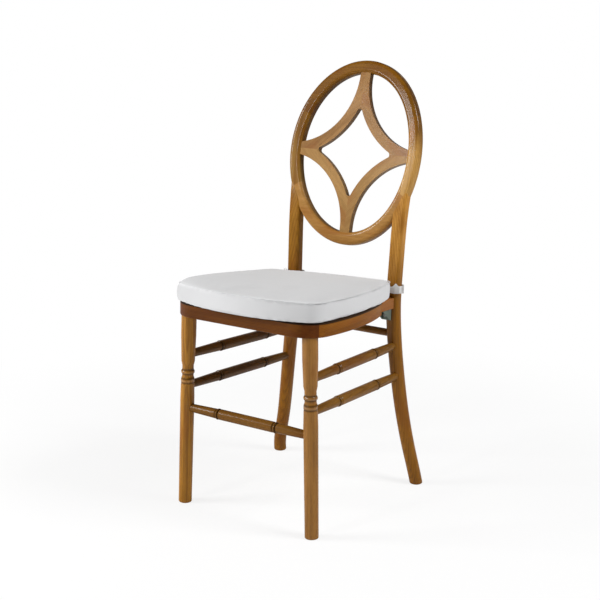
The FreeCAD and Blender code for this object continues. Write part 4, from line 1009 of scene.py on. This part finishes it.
# The line: where it is sewn on, two points on its way to the post, the loop, and the tab
SEWN_INWARD, SEWN_BEHIND = 0.010, 0.012
ON_THE_WAY = ((0.006, 0.016), (0.001, 0.004))
LOOP_FROM, LOOP_TO, LOOP_GROWTH = -0.5, 1.58, 2.4
LOOP_POINTS = 120
TAB_FROM, TAB_CLEARANCE = 0.004, 0.0004
TAB_BEHIND = (0.002, 0.0070, 0.0100)

# The edges: the peak, the dip and the slight waves, whose places and reaches are shares of the line
BAND_PEAK, PEAK_PLACE, PEAK_RISE, PEAK_FALL = 0.0085, 0.900, 0.034, 0.018
BEHIND_PEAK = 0.35
BAND_DIP, DIP_PLACE, DIP_REACH = 0.0010, 0.70, 0.05
WAVE, WAVE_TURNS = 0.0004, 19.0
LOWER_WAVE, LOWER_WAVE_TURNS, LOWER_WAVE_START = 0.0003, 11.0, 1.0
band_cloth = woven("fabric_band", BAND_WHITE, sewn=False)


def post_slice(node, level, reach=0.004):
    """Middle and half sizes of a post at a level, read from its own mesh."""
    points = points_of(nodes[node].data)
    near = points[np.abs(points[:, 2] - level) < reach]
    low, high = near.min(axis=0), near.max(axis=0)
    return (low + high) / 2, (high - low) / 2


def smooth_line(knots, count, passes=6):
    """Evenly spaced points along knots, with the corners rubbed off."""
    steps = np.concatenate([[0.0], np.cumsum(np.linalg.norm(np.diff(knots, axis=0), axis=1))])
    where = np.linspace(0.0, steps[-1], count)
    line = np.stack([np.interp(where, steps, knots[:, number]) for number in (0, 1)], axis=1)
    for _ in range(passes):
        line[1:-1] = (line[:-2] + 2 * line[1:-1] + line[2:]) / 4
    return line


def squared(wave, power):
    """A sine or cosine wave made squarer, with its sign kept."""
    return np.sign(wave) * np.abs(wave) ** power


def band_line(side, middle, half, low, high, count):
    """The band's line seen from above: from the cushion, round the post and out to the tab.

    side is -1 at the left and 1 at the right. middle and half are the middle and the half sizes
    of the loop round the post, and low and high are the corners of the space that the band may
    fill.
    """
    front = middle[1] - half[1]
    start = [[middle[0] - side * SEWN_INWARD, low[1] + SEWN_BEHIND]]
    start += [[middle[0] - side * inward, front - ahead] for inward, ahead in ON_THE_WAY]
    turn = np.linspace(LOOP_FROM, LOOP_TO, LOOP_POINTS) * np.pi
    grow = np.linspace(1.0, 1.0 + LOOP_GROWTH * BAND_THICKNESS / half[0], LOOP_POINTS)
    square = squared(np.stack([np.cos(turn), np.sin(turn)], axis=1), POST_SQUARENESS)
    loop = middle[:2] + square * half * grow[:, None] * np.array([side, 1.0])
    end = high[0] if side > 0 else low[0]
    tab_across = (
        middle[0] + side * (half[0] + TAB_FROM),
        (end + middle[0] + side * half[0]) / 2,
        end - side * TAB_CLEARANCE,
    )
    tab = [[across, front + behind] for across, behind in zip(tab_across, TAB_BEHIND)]
    return smooth_line(np.concatenate([start, loop, tab]), count)


def band_edges(level, count):
    """Heights of the band's lower and upper edge along its line.

    Both wave a little. The upper one also dips once and stands up in a peak, behind which it
    stays higher.
    """
    place = np.linspace(0.0, 1.0, count)
    before = np.exp(-((place - PEAK_PLACE) / PEAK_RISE) ** 2)
    after = BEHIND_PEAK + (1 - BEHIND_PEAK) * np.exp(-((place - PEAK_PLACE) / PEAK_FALL) ** 2)
    peak = BAND_PEAK * np.where(place < PEAK_PLACE, before, after)
    dip = BAND_DIP * np.exp(-((place - DIP_PLACE) / DIP_REACH) ** 2)
    wave = WAVE * np.sin(place * WAVE_TURNS)
    own_wave = LOWER_WAVE * np.sin(place * LOWER_WAVE_TURNS + LOWER_WAVE_START)
    return level + wave * 0.5 + own_wave, level + BAND_WIDTH + peak - dip + wave


def band(name, side, post, replaced, count=260, sides=16):
    """A flat band: P(s, q) = line(s) + thickness normal(s) cos q, between both edges' heights.

    The cross section is flat on both faces and round on both edges.
    """
    low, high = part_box(replaced)
    level = low[2] + BAND_LIFT
    middle, half = post_slice(post, level + BAND_WIDTH / 2)
    line = band_line(side, middle, half[:2] + BAND_THICKNESS, low, high, count)
    long = np.linalg.norm(np.diff(line, axis=0), axis=1).sum()
    print(name, "is %.0f mm long" % (1000 * long))
    way = np.gradient(line, axis=0)
    way /= np.linalg.norm(way, axis=1, keepdims=True)
    normal = np.stack([-way[:, 1], way[:, 0]], axis=1)
    lower, upper = band_edges(level, count)
    turn = np.arange(sides) * 2 * np.pi / sides
    flat = squared(np.sin(turn), EDGE_SQUARENESS)
    spots = line[:, None] + normal[:, None] * (BAND_THICKNESS / 2 * np.cos(turn))[None, :, None]
    up = (upper + lower)[:, None] / 2 + (upper - lower)[:, None] / 2 * flat[None]
    mesh = mesh_from(name, np.concatenate([spots, up[..., None]], axis=2), tube_faces(count, sides))
    add_piece(name, mesh, band_cloth, [replaced])


band("band_left", -1.0, "back_leg_left", "cushion_strap_left")
band("band_right", 1.0, "back_leg_right", "cushion_strap_right")
